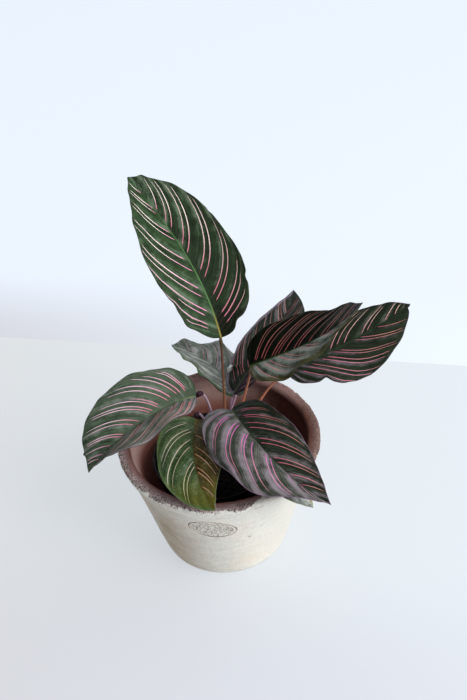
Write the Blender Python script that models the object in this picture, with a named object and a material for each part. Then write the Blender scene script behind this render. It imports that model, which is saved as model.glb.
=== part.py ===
"""Pinstripe calathea in a limewashed terracotta pot.

The plant grows in the black plastic pot that it was sold in, which stands loose inside the
terracotta one. Lengths below are in millimetres and angles in degrees; the meshes are made in
metres, with +Z up. The origin is the middle of the terracotta pot's underside, and -Y is the
front.
"""
import math
from dataclasses import dataclass

import bmesh
import bpy
import numpy as np
from mathutils import Vector, noise

MM = 0.001
GAP = 0.3                     # left between pieces that touch

# Terracotta pot, thrown thick, with a soft flared collar
POT_BASE_RADIUS = 52.0
POT_RIM_RADIUS = 80.0
POT_HEIGHT = 106.3
POT_FLOOR = 8.0
POT_SIDES = 48

# Grower's pot, standing a little left of the middle
NURSERY_X = -5.0
NURSERY_BASE_RADIUS = 36.0
NURSERY_RIM_RADIUS = 49.5
NURSERY_RIM_TOP = 86.0
NURSERY_COLLAR = 6.0
NURSERY_WALL = 1.2
NURSERY_FLOOR = 1.5
NURSERY_SIDES = 40

# Potting soil
SOIL_TOP = 76.0
SOIL_RELIEF = 1.2
SOIL_CLUMP = 7.0              # size of its clumps
SOIL_RINGS = (0.0, 5.0, 10.0, 15.0, 21.0, 27.0, 33.0, 39.0)
HOLE_DEPTH = 12.0
HOLE_RADIUS = 1.65
HOLE_SIDES = 12

# Leaf blades
BLADE_THICKNESS = 0.7
MIDRIB_BASE_THICKNESS = 1.6
MIDRIB_STEPS = 48
BLADE_ROWS = 14               # cross-veins from the base to the tip
BLADE_COLUMNS = 4             # steps along each of them
FIRST_VEIN = 0.05             # the vein that forms the lobe's edge, as a share of the margin
ROW_CROWDING = 1.6            # gathers the rows near the tip
VEIN_START_POWER = 3.3        # how late the veins leave the midrib
VEIN_BOW = (0.40, 0.86)       # where a vein's bow lies, along and across
OUTLINE_SAMPLES = 60

# Stalks
STALK_ROOT_RADIUS = 1.3
STALK_TOP_RADIUS = 1.05
STALK_RINGS = 16
RING_CROWDING = 1.5           # gathers the rings near the blade
PULVINUS_LENGTH = 12.0        # the thicker joint just under a blade
PULVINUS_SWELL = 0.65
STALK_STRAIGHT = 2.0          # how far a stalk stays upright above the soil


@dataclass(frozen=True)
class Stalk:
    """Where a stalk grows from and how it reaches its blade."""
    root: tuple               # x, y in the soil
    rise: float               # how strongly it starts upwards
    lead: float               # how strongly it ends in its last direction
    heading: float            # that direction, from +X towards +Y
    pitch: float              # and its rise above level
    behind: bool = False      # meets the blade's base end-on and not from below


@dataclass(frozen=True)
class Leaf:
    """One blade. A pair of values is its left half and its right half, seen from the stalk."""
    name: str
    base: tuple               # where the blade joins its stalk
    heading: tuple            # of the midrib at its base, middle and tip, from +X towards +Y
    pitch: tuple              # its rise above level at the same places
    roll: tuple               # turn about the midrib at base and tip
    length: float
    width: tuple              # of each half at the widest place
    fold: tuple               # rise of each half beside the midrib
    curl: tuple               # change of that rise out to the margin
    widest: float             # place of the greatest width, as a share of the length
    lobe: tuple               # reach back past the base, as a share of the length
    fullness: float           # width kept near the tip
    waves: float              # ripples along each margin
    wave: tuple               # their height
    phase: tuple
    stalk: Stalk


LEAVES = (
    Leaf("tall",
         base=(8.0, 7.5, 197.0), heading=(107, 130, 151), pitch=(54, 46, 49), roll=(-1, 10),
         length=136.5, width=(33.5, 41.5), fold=(9, 8), curl=(-17, -3),
         widest=0.51, lobe=(0.01, 0.01), fullness=0.64,
         waves=2, wave=(1.4, 0.9), phase=(-131, -117),
         stalk=Stalk(root=(6.0, 3.0), rise=54, lead=14, heading=228, pitch=83)),
    Leaf("left",
         base=(-15.0, 5.0, 144.0), heading=(220, 213, 200), pitch=(26, -11, -46), roll=(-19, 10),
         length=107.0, width=(24.5, 34.0), fold=(29, 44), curl=(-15, 1),
         widest=0.49, lobe=(-0.13, 0.05), fullness=0.42,
         waves=2.5, wave=(4.2, 1.1), phase=(122, 93),
         stalk=Stalk(root=(-1.0, 4.3), rise=41, lead=14, heading=222, pitch=-45, behind=True)),
    Leaf("front_small",
         base=(-16.0, -2.5, 127.0), heading=(262, 273, 301), pitch=(19, -7, -11), roll=(-9, 39),
         length=93.5, width=(23.5, 28.0), fold=(13, 11), curl=(-17, -11),
         widest=0.43, lobe=(0.04, 0.04), fullness=0.38,
         waves=2.5, wave=(1.3, 1.9), phase=(-9, -112),
         stalk=Stalk(root=(-3.0, -2.0), rise=44, lead=14, heading=278, pitch=-40, behind=True)),
    Leaf("front_large",
         base=(11.5, -2.0, 133.0), heading=(279, 303, 325), pitch=(31, -11, -9), roll=(5, -24),
         length=122.5, width=(30.5, 38.0), fold=(20, 28), curl=(-12, -68),
         widest=0.49, lobe=(0.15, 0.15), fullness=0.37,
         waves=3, wave=(0.7, 3.0), phase=(-27, -106),
         stalk=Stalk(root=(6.0, -5.0), rise=26, lead=14, heading=290, pitch=68)),
    Leaf("front_under",
         base=(18.5, -16.0, 114.0), heading=(292, 304, 316), pitch=(8, -6, -18), roll=(-6, -7),
         length=83.0, width=(22.5, 22.5), fold=(13, 15), curl=(-12, -8),
         widest=0.42, lobe=(0.06, 0.06), fullness=0.35,
         waves=4, wave=(0.1, 2.0), phase=(171, 51),
         stalk=Stalk(root=(12.0, -9.0), rise=17, lead=14, heading=298, pitch=46)),
    Leaf("back_left",
         base=(13.5, 33.5, 116.0), heading=(99, 122, 139), pitch=(8, -5, -7), roll=(10, 9),
         length=95.0, width=(25.5, 26.5), fold=(23, 17), curl=(2, -11),
         widest=0.42, lobe=(0.03, 0.08), fullness=0.38,
         waves=3.5, wave=(2.1, 4.0), phase=(-36, 16),
         stalk=Stalk(root=(3.0, 11.0), rise=17, lead=14, heading=88, pitch=47)),
    Leaf("back_upright",
         base=(14.5, 26.0, 124.0), heading=(42, 52, 76), pitch=(40, 16, 16), roll=(-20, -16),
         length=111.0, width=(27.0, 28.5), fold=(10, 15), curl=(-12, -13),
         widest=0.44, lobe=(0.04, -0.03), fullness=0.29,
         waves=2.5, wave=(0.4, 2.2), phase=(114, -50),
         stalk=Stalk(root=(9.0, 8.0), rise=26, lead=17, heading=17, pitch=66)),
    Leaf("right",
         base=(28.5, 16.0, 160.5), heading=(-13, -20, -10), pitch=(29, 38, 58), roll=(26, -11),
         length=111.0, width=(30.5, 23.0), fold=(12, 10), curl=(-2, -26),
         widest=0.35, lobe=(0.05, 0.03), fullness=0.38,
         waves=3, wave=(0.9, 2.7), phase=(-48, -43),
         stalk=Stalk(root=(11.5, 2.0), rise=33, lead=16, heading=283, pitch=72)),
    Leaf("far_right",
         base=(58.0, 25.5, 143.5), heading=(22, 25, 32), pitch=(5, 8, 13), roll=(2, 5),
         length=120.5, width=(30.0, 35.5), fold=(14, 12), curl=(-19, -32),
         widest=0.44, lobe=(0.02, 0.06), fullness=0.31,
         waves=2, wave=(3.2, 4.2), phase=(172, -19),
         stalk=Stalk(root=(15.0, -2.5), rise=25, lead=20, heading=347, pitch=20)),
)

# Colour, roughness
TERRACOTTA = ((0.60, 0.54, 0.47), 0.90)
BLACK_PLASTIC = ((0.020, 0.020, 0.022), 0.40)
SOIL = ((0.018, 0.013, 0.010), 0.95)
LEAF_GREEN = ((0.035, 0.085, 0.050), 0.40)
LEAF_OLIVE = ((0.130, 0.140, 0.040), 0.42)
STALK_ROSE = ((0.34, 0.17, 0.14), 0.45)


def direction(heading, pitch):
    """Unit vector for a heading and a rise above level."""
    turn, rise = math.radians(heading), math.radians(pitch)
    return np.array([math.cos(rise) * math.cos(turn), math.cos(rise) * math.sin(turn), math.sin(rise)])


def cubic(p0, p1, p2, p3, t):
    """Points of a cubic curve at the values t."""
    t = np.asarray(t, float)[:, None]
    u = 1.0 - t
    return u ** 3 * p0 + 3 * u * u * t * p1 + 3 * u * t * t * p2 + t ** 3 * p3


def through_three(values, s):
    """Parabola through the values at the base, middle and tip."""
    base, middle, tip = values
    return base * (1 - s) * (1 - 2 * s) + middle * 4 * s * (1 - s) + tip * s * (2 * s - 1)


class Blade:
    """The bent surface of a leaf, from its flat outline."""

    def __init__(self, leaf):
        self.leaf = leaf
        self.s = np.linspace(0, 1, MIDRIB_STEPS + 1)
        steps = [self.along(s) for s in (self.s[1:] + self.s[:-1]) / 2]
        path = np.cumsum(np.array(steps) * leaf.length / MIDRIB_STEPS, axis=0)
        self.midrib = np.vstack([np.zeros(3), path]) + leaf.base

    def along(self, s):
        """Direction of the midrib at the share s of its length."""
        return direction(through_three(self.leaf.heading, s), through_three(self.leaf.pitch, s))

    def frame(self, s):
        """Directions along the midrib, to its left and out of the upper face."""
        along = self.along(s)
        turn = math.radians(through_three(self.leaf.heading, s))
        level = np.array([-math.sin(turn), math.cos(turn), 0.0])
        up = np.cross(along, level)
        roll = math.radians((1 - s) * self.leaf.roll[0] + s * self.leaf.roll[1])
        left = level * math.cos(roll) + up * math.sin(roll)
        return along, left, up * math.cos(roll) - level * math.sin(roll)

    def margin(self, side):
        """Flat outline of one half, from base to tip, and each point's share of its length."""
        leaf = self.leaf
        length, width = leaf.length, leaf.width[side]
        wide = leaf.widest * length
        t = np.linspace(0, 1, OUTLINE_SAMPLES)
        lower = cubic(np.array([0, 0]), np.array([-leaf.lobe[side] * length, 0.38 * width]),
                      np.array([wide - 0.30 * length, width]), np.array([wide, width]), t)
        upper = cubic(np.array([wide, width]), np.array([wide + 0.27 * length, width]),
                      np.array([0.90 * length, leaf.fullness * width]), np.array([length, 0]), t)
        points = np.vstack([lower, upper[1:]])
        run = np.concatenate([[0], np.cumsum(np.hypot(*np.diff(points, axis=0).T))])
        return points, run / run[-1]

    def vein(self, side, share, columns):
        """Flat points of the cross-vein that meets the margin at that share of its length."""
        points, run = self.margin(side)
        end = np.array([np.interp(share, run, points[:, 0]), np.interp(share, run, points[:, 1])])
        start = np.array([self.leaf.length * share ** VEIN_START_POWER, 0.0])
        bow = np.array([start[0] + VEIN_BOW[0] * (end[0] - start[0]), VEIN_BOW[1] * end[1]])
        r = np.linspace(0, 1, columns + 1)[:, None]
        return (1 - r) ** 2 * start + 2 * r * (1 - r) * bow + r * r * end

    def bend(self, side, x, y):
        """Place in space, and the upper face's normal, of a flat point of one half."""
        leaf = self.leaf
        share = x / leaf.length
        s = min(max(share, 0.0), 1.0)
        along, left, up = self.frame(s)
        centre = np.array([np.interp(s, self.s, self.midrib[:, axis]) for axis in range(3)])
        centre = centre + along * (share - s) * leaf.length
        width = leaf.width[side]
        across = y / width
        fold = math.radians(leaf.fold[side])
        curl = math.radians(leaf.curl[side])
        rise = fold + curl * across
        out = width / curl * (math.sin(rise) - math.sin(fold))
        height = -width / curl * (math.cos(rise) - math.cos(fold))
        ripple = 2 * math.pi * leaf.waves * s + math.radians(leaf.phase[side])
        height += across ** 2 * leaf.wave[side] * math.sin(ripple)
        outward = left if side == 0 else -left
        normal = up * math.cos(rise) - outward * math.sin(rise)
        return centre + outward * out + up * height, normal


def stalk_end(blade):
    """Place and direction of a stalk's top, just clear of the blade that it carries."""
    stalk = blade.leaf.stalk
    along, _, up = blade.frame(0.0)
    last = direction(stalk.heading, stalk.pitch)
    base = np.array(blade.leaf.base)
    if stalk.behind:
        reach = 2 * GAP + STALK_TOP_RADIUS * math.sqrt(1 - np.dot(last, along) ** 2)
        return base - along * reach - up * MIDRIB_BASE_THICKNESS / 2, last
    reach = GAP + STALK_TOP_RADIUS * math.sqrt(1 - np.dot(last, up) ** 2)
    return base - up * (MIDRIB_BASE_THICKNESS + reach), last


def material(name, colour, roughness):
    """Principled material of one plain colour."""
    made = bpy.data.materials.new(name)
    made.use_nodes = True
    shader = made.node_tree.nodes["Principled BSDF"]
    shader.inputs["Base Color"].default_value = (*colour, 1.0)
    shader.inputs["Roughness"].default_value = roughness
    shader.inputs["Metallic"].default_value = 0.0
    made.diffuse_color = (*colour, 1.0)
    return made


def add_object(name, data, finish):
    """Object of that name in the scene, with its own material."""
    made = bpy.data.objects.new(name, data)
    data.materials.append(material(name + "_finish", *finish))
    bpy.context.scene.collection.objects.link(made)
    return made


def mesh_from(name, shape, smooth_below=40.0):
    """Mesh of a bmesh, shaded smooth except across its sharp edges."""
    mesh = bpy.data.meshes.new(name)
    shape.to_mesh(mesh)
    shape.free()
    mesh.shade_smooth()
    mesh.set_sharp_from_angle(angle=math.radians(smooth_below))
    return mesh


def turned(profile, sides):
    """Closed bmesh of a profile of radius and height, turned about the Z axis."""
    shape = bmesh.new()
    ring = [shape.verts.new((radius * MM, 0.0, height * MM)) for radius, height in profile]
    edges = [shape.edges.new(pair) for pair in zip(ring, ring[1:])]
    bmesh.ops.spin(shape, geom=ring + edges, cent=(0, 0, 0), axis=(0, 0, 1),
                   angle=2 * math.pi, steps=sides, use_merge=True)
    bmesh.ops.remove_doubles(shape, verts=shape.verts, dist=0.001 * MM)
    bmesh.ops.recalc_face_normals(shape, faces=shape.faces)
    return shape


def make_pot():
    """Terracotta pot: rounded foot, straight flaring wall, soft collar and a flat worn lip."""
    foot, rim, top = POT_BASE_RADIUS, POT_RIM_RADIUS, POT_HEIGHT
    outside = [(0, 0), (foot - 4, 0), (foot - 1.4, 1.2), (foot, 4.5),
               (rim - 5, top - 12.3), (rim - 2.7, top - 9.3), (rim - 0.8, top - 5.3)]
    lip = [(rim, top - 2.8), (rim - 0.4, top - 0.9), (rim - 1.8, top),
           (rim - 8, top), (rim - 9.4, top - 0.7), (rim - 10, top - 2.3)]
    inside = [(rim - 10.8, top - 8.3), (rim - 13.2, top - 14.3), (foot - 6.5, POT_FLOOR + 4),
              (foot - 9, POT_FLOOR + 1.2), (foot - 12, POT_FLOOR), (0, POT_FLOOR)]
    shape = turned(outside + lip + inside, POT_SIDES)
    add_object("pot", mesh_from("pot", shape), TERRACOTTA)


def nursery_outer_radius(height):
    """Outside of the grower's pot below its collar."""
    foot = POT_FLOOR + GAP
    share = (height - foot) / (NURSERY_RIM_TOP - NURSERY_COLLAR - foot)
    return NURSERY_BASE_RADIUS + share * (NURSERY_RIM_RADIUS - 3.0 - NURSERY_BASE_RADIUS)


def make_nursery_pot():
    """Thin plastic pot with a turned-out collar, its floor on the terracotta pot's floor."""
    foot, top = POT_FLOOR + GAP, NURSERY_RIM_TOP
    collar = top - NURSERY_COLLAR
    under = nursery_outer_radius(collar)
    floor = foot + NURSERY_FLOOR
    rim = NURSERY_RIM_RADIUS
    profile = [(0, foot), (NURSERY_BASE_RADIUS - 2.5, foot), (nursery_outer_radius(foot + 2.5), foot + 2.5),
               (under, collar - 1.2), (rim - 0.5, collar), (rim, collar + 1),
               (rim, top - 0.6), (rim - 0.6, top), (rim - 1.6, top), (rim - 2.0, top - 0.6),
               (under - NURSERY_WALL, collar - 2.0),
               (nursery_outer_radius(floor + 1.5) - NURSERY_WALL, floor + 1.5),
               (nursery_outer_radius(floor) - NURSERY_WALL - 1.5, floor), (0, floor)]
    shape = turned(profile, NURSERY_SIDES)
    made = add_object("nursery_pot", mesh_from("nursery_pot", shape), BLACK_PLASTIC)
    made.location.x = NURSERY_X * MM


def make_hole_cutter():
    """One upright prism for each stalk, which the soil is cut with."""
    shape = bmesh.new()
    height = HOLE_DEPTH + 3 * SOIL_RELIEF
    for leaf in LEAVES:
        x, y = leaf.stalk.root
        middle = Vector((x, y, SOIL_TOP - HOLE_DEPTH + height / 2)) * MM
        made = bmesh.ops.create_cone(shape, cap_ends=True, segments=HOLE_SIDES, depth=height * MM,
                                     radius1=HOLE_RADIUS * MM, radius2=HOLE_RADIUS * MM)
        bmesh.ops.translate(shape, verts=made["verts"], vec=middle)
    cutter = add_object("soil_hole_cutter", mesh_from("soil_hole_cutter", shape), SOIL)
    cutter.display_type = "WIRE"
    cutter.hide_render = True
    return cutter


def make_soil():
    """Soil that fills the grower's pot, with a lumpy top and a plain hole for each stalk."""
    floor = POT_FLOOR + NURSERY_FLOOR + 2 * GAP
    inset = NURSERY_WALL + GAP
    edge = nursery_outer_radius(SOIL_TOP) - inset
    profile = [(0, floor), (nursery_outer_radius(floor) - inset - 1.8, floor),
               (nursery_outer_radius(floor + 2) - inset, floor + 2), (edge, SOIL_TOP - 2 * SOIL_RELIEF),
               (edge - 1.2, SOIL_TOP)]
    profile += [(radius, SOIL_TOP) for radius in reversed(SOIL_RINGS)]
    shape = turned(profile, NURSERY_SIDES)
    for vert in shape.verts:
        if vert.co.z > (SOIL_TOP - 0.1) * MM:
            spot = vert.co / (SOIL_CLUMP * MM)
            vert.co.z += SOIL_RELIEF * MM * noise.noise(spot) * 1.5
    made = add_object("soil", mesh_from("soil", shape), SOIL)
    made.location.x = NURSERY_X * MM
    cut = made.modifiers.new("stalk_holes", "BOOLEAN")
    cut.operation = "DIFFERENCE"
    cut.object = make_hole_cutter()


def make_blade(blade, finish):
    """Closed thin blade: two faces split into the same triangles, and the wall between them."""
    shape = bmesh.new()
    leaf = blade.leaf
    shares = [FIRST_VEIN + (1 - FIRST_VEIN) * (1 - (1 - row / BLADE_ROWS) ** ROW_CROWDING)
              for row in range(BLADE_ROWS + 1)]
    merge_below = 0.6

    def pair(side, x, y):
        """Upper and lower vertex of a flat point."""
        place, normal = blade.bend(side, x, y)
        thickness = BLADE_THICKNESS
        if y == 0.0:
            _, _, normal = blade.frame(min(max(x / leaf.length, 0.0), 1.0))
            share = x / leaf.length
            thickness = MIDRIB_BASE_THICKNESS * (1 - share) + BLADE_THICKNESS * share
        upper = shape.verts.new(place * MM)
        lower = shape.verts.new((place - normal * thickness) * MM)
        return upper, lower

    base = pair(0, 0.0, 0.0)
    tip = pair(0, leaf.length, 0.0)
    midrib = []
    for share in shares[:-1]:
        x = leaf.length * share ** VEIN_START_POWER
        midrib.append(base if x < merge_below else pair(0, x, 0.0))

    def face(corners, flip):
        """One triangle of each face of the blade, left out where it has no area."""
        if len({id(corner) for corner in corners}) < 3:
            return
        order = corners[::-1] if flip else corners
        shape.faces.new([corner[0] for corner in order])
        shape.faces.new([corner[1] for corner in reversed(order)])

    for side in (0, 1):
        rows = []
        for share, rib in zip(shares[:-1], midrib):
            points = blade.vein(side, share, BLADE_COLUMNS)
            rows.append([rib] + [pair(side, x, y) for x, y in points[1:]])
        rows.append([tip] * (BLADE_COLUMNS + 1))
        for near, far in zip(rows, rows[1:]):
            for column in range(BLADE_COLUMNS):
                face((near[column], far[column], far[column + 1]), side == 0)
                face((near[column], far[column + 1], near[column + 1]), side == 0)
        rim = rows[0] + [row[-1] for row in rows[1:]]
        for first, second in zip(rim, rim[1:]):
            corners = [first[0], second[0], second[1], first[1]]
            shape.faces.new(corners if side == 1 else corners[::-1])
    bmesh.ops.triangulate(shape, faces=[f for f in shape.faces if len(f.verts) > 3])
    bmesh.ops.recalc_face_normals(shape, faces=shape.faces)
    name = "leaf_" + leaf.name
    add_object(name, mesh_from(name, shape, 60.0), finish)


def make_stalk(blade):
    """Round stalk from its hole in the soil to its blade, with the swollen joint at its top."""
    leaf = blade.leaf
    root = np.array([*leaf.stalk.root, SOIL_TOP])
    end, last = stalk_end(blade)
    up = np.array([0.0, 0.0, 1.0])
    start = root + up * STALK_STRAIGHT
    t = 1 - (1 - np.linspace(0, 1, STALK_RINGS)) ** RING_CROWDING
    path = cubic(start, start + up * leaf.stalk.rise, end - last * leaf.stalk.lead, end, t)
    path = np.vstack([root - up * (HOLE_DEPTH - GAP), path])
    run = np.concatenate([[0], np.cumsum(np.linalg.norm(np.diff(path, axis=0), axis=1))])
    curve = bpy.data.curves.new("stem_" + leaf.name, "CURVE")
    curve.dimensions = "3D"
    curve.bevel_depth = MM
    curve.bevel_resolution = 2
    curve.use_fill_caps = True
    spline = curve.splines.new("POLY")
    spline.points.add(len(path) - 1)
    for point, place, done in zip(spline.points, path, run):
        radius = STALK_ROOT_RADIUS + (STALK_TOP_RADIUS - STALK_ROOT_RADIUS) * done / run[-1]
        left = run[-1] - done
        if left < PULVINUS_LENGTH:
            radius += PULVINUS_SWELL * math.sin(math.pi * left / PULVINUS_LENGTH) ** 2
        point.co = (*(place * MM), 1.0)
        point.radius = radius
    spline.use_smooth = True
    add_object("stem_" + leaf.name, curve, STALK_ROSE)


def main():
    """Builds the pot, the grower's pot, the soil and the nine leaves."""
    for old in list(bpy.data.objects):
        bpy.data.objects.remove(old, do_unlink=True)
    make_pot()
    make_nursery_pot()
    make_soil()
    for leaf in LEAVES:
        blade = Blade(leaf)
        make_blade(blade, LEAF_OLIVE if leaf.name == "front_small" else LEAF_GREEN)
        make_stalk(blade)


main()
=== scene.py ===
"""Looks of a pinstripe calathea in its limewashed pot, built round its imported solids.

Measures are in millimetres and angles in degrees, as in the part's own source, and Blender's values
are in metres. The origin is the middle of the pot's underside, and -Y is the front.
"""

import logging
import math
from dataclasses import dataclass
from enum import Enum

import bpy
import numpy as np
from mathutils import Matrix, Vector, noise


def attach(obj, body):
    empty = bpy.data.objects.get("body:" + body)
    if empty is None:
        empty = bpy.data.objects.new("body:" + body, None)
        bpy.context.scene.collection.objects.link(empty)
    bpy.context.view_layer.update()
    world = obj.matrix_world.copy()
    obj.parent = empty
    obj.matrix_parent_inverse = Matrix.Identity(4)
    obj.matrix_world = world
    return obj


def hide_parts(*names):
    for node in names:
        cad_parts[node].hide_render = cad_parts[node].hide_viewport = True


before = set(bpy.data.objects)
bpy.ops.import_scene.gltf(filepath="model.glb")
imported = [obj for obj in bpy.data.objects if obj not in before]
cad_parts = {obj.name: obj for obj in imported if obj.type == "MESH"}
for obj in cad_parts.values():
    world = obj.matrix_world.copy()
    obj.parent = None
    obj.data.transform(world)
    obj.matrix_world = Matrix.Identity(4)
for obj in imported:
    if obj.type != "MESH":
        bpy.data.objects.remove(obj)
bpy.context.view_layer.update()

MM = 0.001
BODY = "root"

Array = np.ndarray
Pair = tuple[float, float]
Triple = tuple[float, float, float]
Colour = Triple
Object = bpy.types.Object
Material = bpy.types.Material

log = logging.getLogger("calathea")


class Slot(Enum):
    """Material slots of the record."""
    TERRACOTTA = "terracotta"
    PLASTIC = "black_plastic"
    SOIL = "soil"
    LEAF_GREEN = "leaf_green"
    LEAF_OLIVE = "leaf_olive"
    STEM = "stem"


class Half(Enum):
    """Half of a blade, seen from its stalk."""
    LEFT = 0
    RIGHT = 1


class Seat(Enum):
    """Side of the blade's base that a stalk meets."""
    BELOW = "below"
    BEHIND = "behind"


def rgb(red: float, green: float, blue: float) -> Colour:
    """Linear colour, as shaders take it, from the 0 to 255 values of a screen."""
    shares = (value / 255 for value in (red, green, blue))
    return tuple(s / 12.92 if s <= 0.04045 else ((s + 0.055) / 1.055) ** 2.4 for s in shares)


def smooth(low: float, high: float, value: Array) -> Array:
    """Soft step from 0, at low, to 1, at high."""
    share = np.clip((value - low) / (high - low), 0.0, 1.0)
    return share * share * (3 - 2 * share)


def cubic(p0: Array, p1: Array, p2: Array, p3: Array, t: Array) -> Array:
    """Points of a cubic curve.

    Args:
        p0: Its start.
        p1: Handle of the start.
        p2: Handle of the end.
        p3: Its end.
        t: Values from 0 to 1.

    Returns:
        One point for each value, as rows.
    """
    t = np.asarray(t, float)[:, None]
    u = 1.0 - t
    return u ** 3 * p0 + 3 * u * u * t * p1 + 3 * u * t * t * p2 + t ** 3 * p3


def through_three(values: tuple, s: Array) -> Array:
    """Parabola through the values at base, middle and tip, read at shares of the way."""
    base, middle, tip = values
    return base * (1 - s) * (1 - 2 * s) + middle * 4 * s * (1 - s) + tip * s * (2 * s - 1)


def directions(heading: Array, pitch: Array) -> Array:
    """Unit vectors for headings, from +X towards +Y, and angles above level."""
    turn, rise = np.radians(heading), np.radians(pitch)
    return np.stack([np.cos(rise) * np.cos(turn), np.cos(rise) * np.sin(turn), np.sin(rise)], -1)


def fractal(place: Array, size: float, octaves: int = 3) -> Array:
    """Noise from about -1 to 1 at places in rows, with lumps of a size in millimetres."""
    return np.array([noise.fractal(Vector(p) / size, 1.0, 2.0, octaves) for p in place])


def grid_quads(index: Array) -> Array:
    """Quads, as four vertex numbers each, between the rows and columns of a grid of them."""
    return np.stack([index[:-1, :-1], index[1:, :-1], index[1:, 1:], index[:-1, 1:]], -1).reshape(-1, 4)


def tube_quads(rings: int, sides: int) -> Array:
    """Quads that face out between rings of vertices, each of which closes on itself."""
    index = np.arange(rings * sides).reshape(rings, sides)
    return grid_quads(np.concatenate([index, index[:, :1]], 1))[:, ::-1]


def run_along(points: Array) -> Array:
    """Distance of each point from the first, along the line through them."""
    return np.concatenate([[0], np.cumsum(np.linalg.norm(np.diff(points, axis=0), axis=1))])


def wrapped(angle: Array) -> Array:
    """The same angles in radians, brought between -pi and pi."""
    return (angle + math.pi) % (2 * math.pi) - math.pi


def unit(vectors: Array) -> Array:
    """The same directions, one long."""
    return vectors / np.linalg.norm(vectors, axis=-1, keepdims=True)


@dataclass(frozen=True)
class Signal:
    """What a shader node gives out, for sums written with plain signs."""
    board: "Board"
    socket: bpy.types.NodeSocket

    def __add__(self, other: "Value") -> "Signal":
        """This and a number or another signal."""
        return self.board.sum("ADD", self, other)

    def __sub__(self, other: "Value") -> "Signal":
        """This less a number or another signal."""
        return self.board.sum("SUBTRACT", self, other)

    def __rsub__(self, other: float) -> "Signal":
        """A number less this."""
        return self.board.sum("SUBTRACT", other, self)

    def __mul__(self, other: "Value") -> "Signal":
        """This times a number or another signal."""
        return self.board.sum("MULTIPLY", self, other)

    def __abs__(self) -> "Signal":
        """This without its sign."""
        return self.board.sum("ABSOLUTE", self)


Value = float | tuple | Signal


class Board:
    """Shader nodes, with short ways to add and join them."""

    def __init__(self, tree: bpy.types.NodeTree) -> None:
        """Takes on the tree that the nodes go into."""
        self.tree = tree

    def feed(self, socket: bpy.types.NodeSocket, value: Value) -> None:
        """Joins a signal to a socket, or sets the socket's value.

        Args:
            socket: The socket that takes the value.
            value: A signal, or the value itself.
        """
        if isinstance(value, Signal):
            self.tree.links.new(value.socket, socket)
        elif isinstance(value, tuple) and len(value) == 3 and socket.type == "RGBA":
            socket.default_value = (*value, 1.0)
        else:
            socket.default_value = value

    def add(self, kind: str, inputs: dict, **settings: object) -> bpy.types.Node:
        """Adds a node.

        Args:
            kind: Its Blender type.
            inputs: Values by the name or number of the input.
            settings: The node's own properties.

        Returns:
            The node.
        """
        node = self.tree.nodes.new(kind)
        for key, value in settings.items():
            setattr(node, key, value)
        for key, value in inputs.items():
            self.feed(node.inputs[key], value)
        return node

    def signal(self, kind: str, inputs: dict, output: int | str = 0, **settings: object) -> Signal:
        """Adds a node and takes one of its outputs, by name or number."""
        return Signal(self, self.add(kind, inputs, **settings).outputs[output])

    def attribute(self, name: str, output: str = "Fac") -> Signal:
        """Reads a value that the mesh carries: "Fac" for a number, "Vector" for three."""
        return self.signal("ShaderNodeAttribute", {}, output, attribute_name=name)

    def parts(self, vector: Signal) -> list[Signal]:
        """Splits a vector into its three numbers."""
        return [Signal(self, socket) for socket in self.add("ShaderNodeSeparateXYZ", {0: vector}).outputs]

    def vector(self, x: Value, y: Value, z: Value) -> Signal:
        """Makes a vector of three numbers."""
        return self.signal("ShaderNodeCombineXYZ", {0: x, 1: y, 2: z})

    def place(self) -> Signal:
        """Place on the piece, in metres."""
        return self.signal("ShaderNodeTexCoord", {}, "Object")

    def sum(self, operation: str, a: Value, b: Value = 0.0) -> Signal:
        """Works out one of Blender's sums with one or two numbers."""
        return self.signal("ShaderNodeMath", {0: a, 1: b}, operation=operation)

    def larger(self, a: Value, b: Value) -> Signal:
        """The larger of two numbers."""
        return self.sum("MAXIMUM", a, b)

    def step(self, value: Value, low: Value, high: Value, start: float = 0.0, end: float = 1.0) -> Signal:
        """Soft step from start, where the value is low or less, to end, where it is high or more."""
        inputs = {"Value": value, "From Min": low, "From Max": high, "To Min": start, "To Max": end}
        return self.signal("ShaderNodeMapRange", inputs, interpolation_type="SMOOTHSTEP")

    def blend(self, share: Value, a: Value, b: Value) -> Signal:
        """Mixes two numbers, with the share of the second one given first."""
        return self.signal("ShaderNodeMix", {0: share, 2: a, 3: b})

    def mix(self, share: Value, a: Value, b: Value) -> Signal:
        """Mixes two colours, with the share of the second one given first."""
        return self.signal("ShaderNodeMix", {0: share, 6: a, 7: b}, 2, data_type="RGBA")

    def grain(self, vector: Signal, scale: float, detail: float = 2.0, rough: float = 0.5) -> Signal:
        """Noise from 0 to 1, by its lumps in a unit of the place, its finer layers and their strength."""
        inputs = {"Vector": vector, "Scale": scale, "Detail": detail, "Roughness": rough}
        return self.signal("ShaderNodeTexNoise", inputs, "Fac")


class Surface(Board):
    """A material round a Principled shader."""

    def __init__(self, name: str) -> None:
        """Starts the material.

        Args:
            name: The material's name.
        """
        self.material = bpy.data.materials.new(name)
        self.material.use_nodes = True
        super().__init__(self.material.node_tree)
        self.shader = self.tree.nodes["Principled BSDF"]

    def bump(self, height: Signal, depth: float, strength: float) -> None:
        """Gives the surface a fine relief, by its depth in millimetres and the share that is used."""
        inputs = {"Height": height, "Distance": depth * MM, "Strength": strength}
        self.feed(self.shader.inputs["Normal"], self.signal("ShaderNodeBump", inputs))

    def finish(self, colour: Value, roughness: Value, **plain: float) -> Material:
        """Sets the shader's main values.

        Args:
            colour: Base colour.
            roughness: Roughness.
            plain: Values of other sockets, named in lower case with _ for a space.

        Returns:
            The finished material.
        """
        self.feed(self.shader.inputs["Base Color"], colour)
        self.feed(self.shader.inputs["Roughness"], roughness)
        for key, value in plain.items():
            name = key.replace("_", " ").title().replace("Ior", "IOR")
            self.shader.inputs[name].default_value = value
        return self.material


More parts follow.
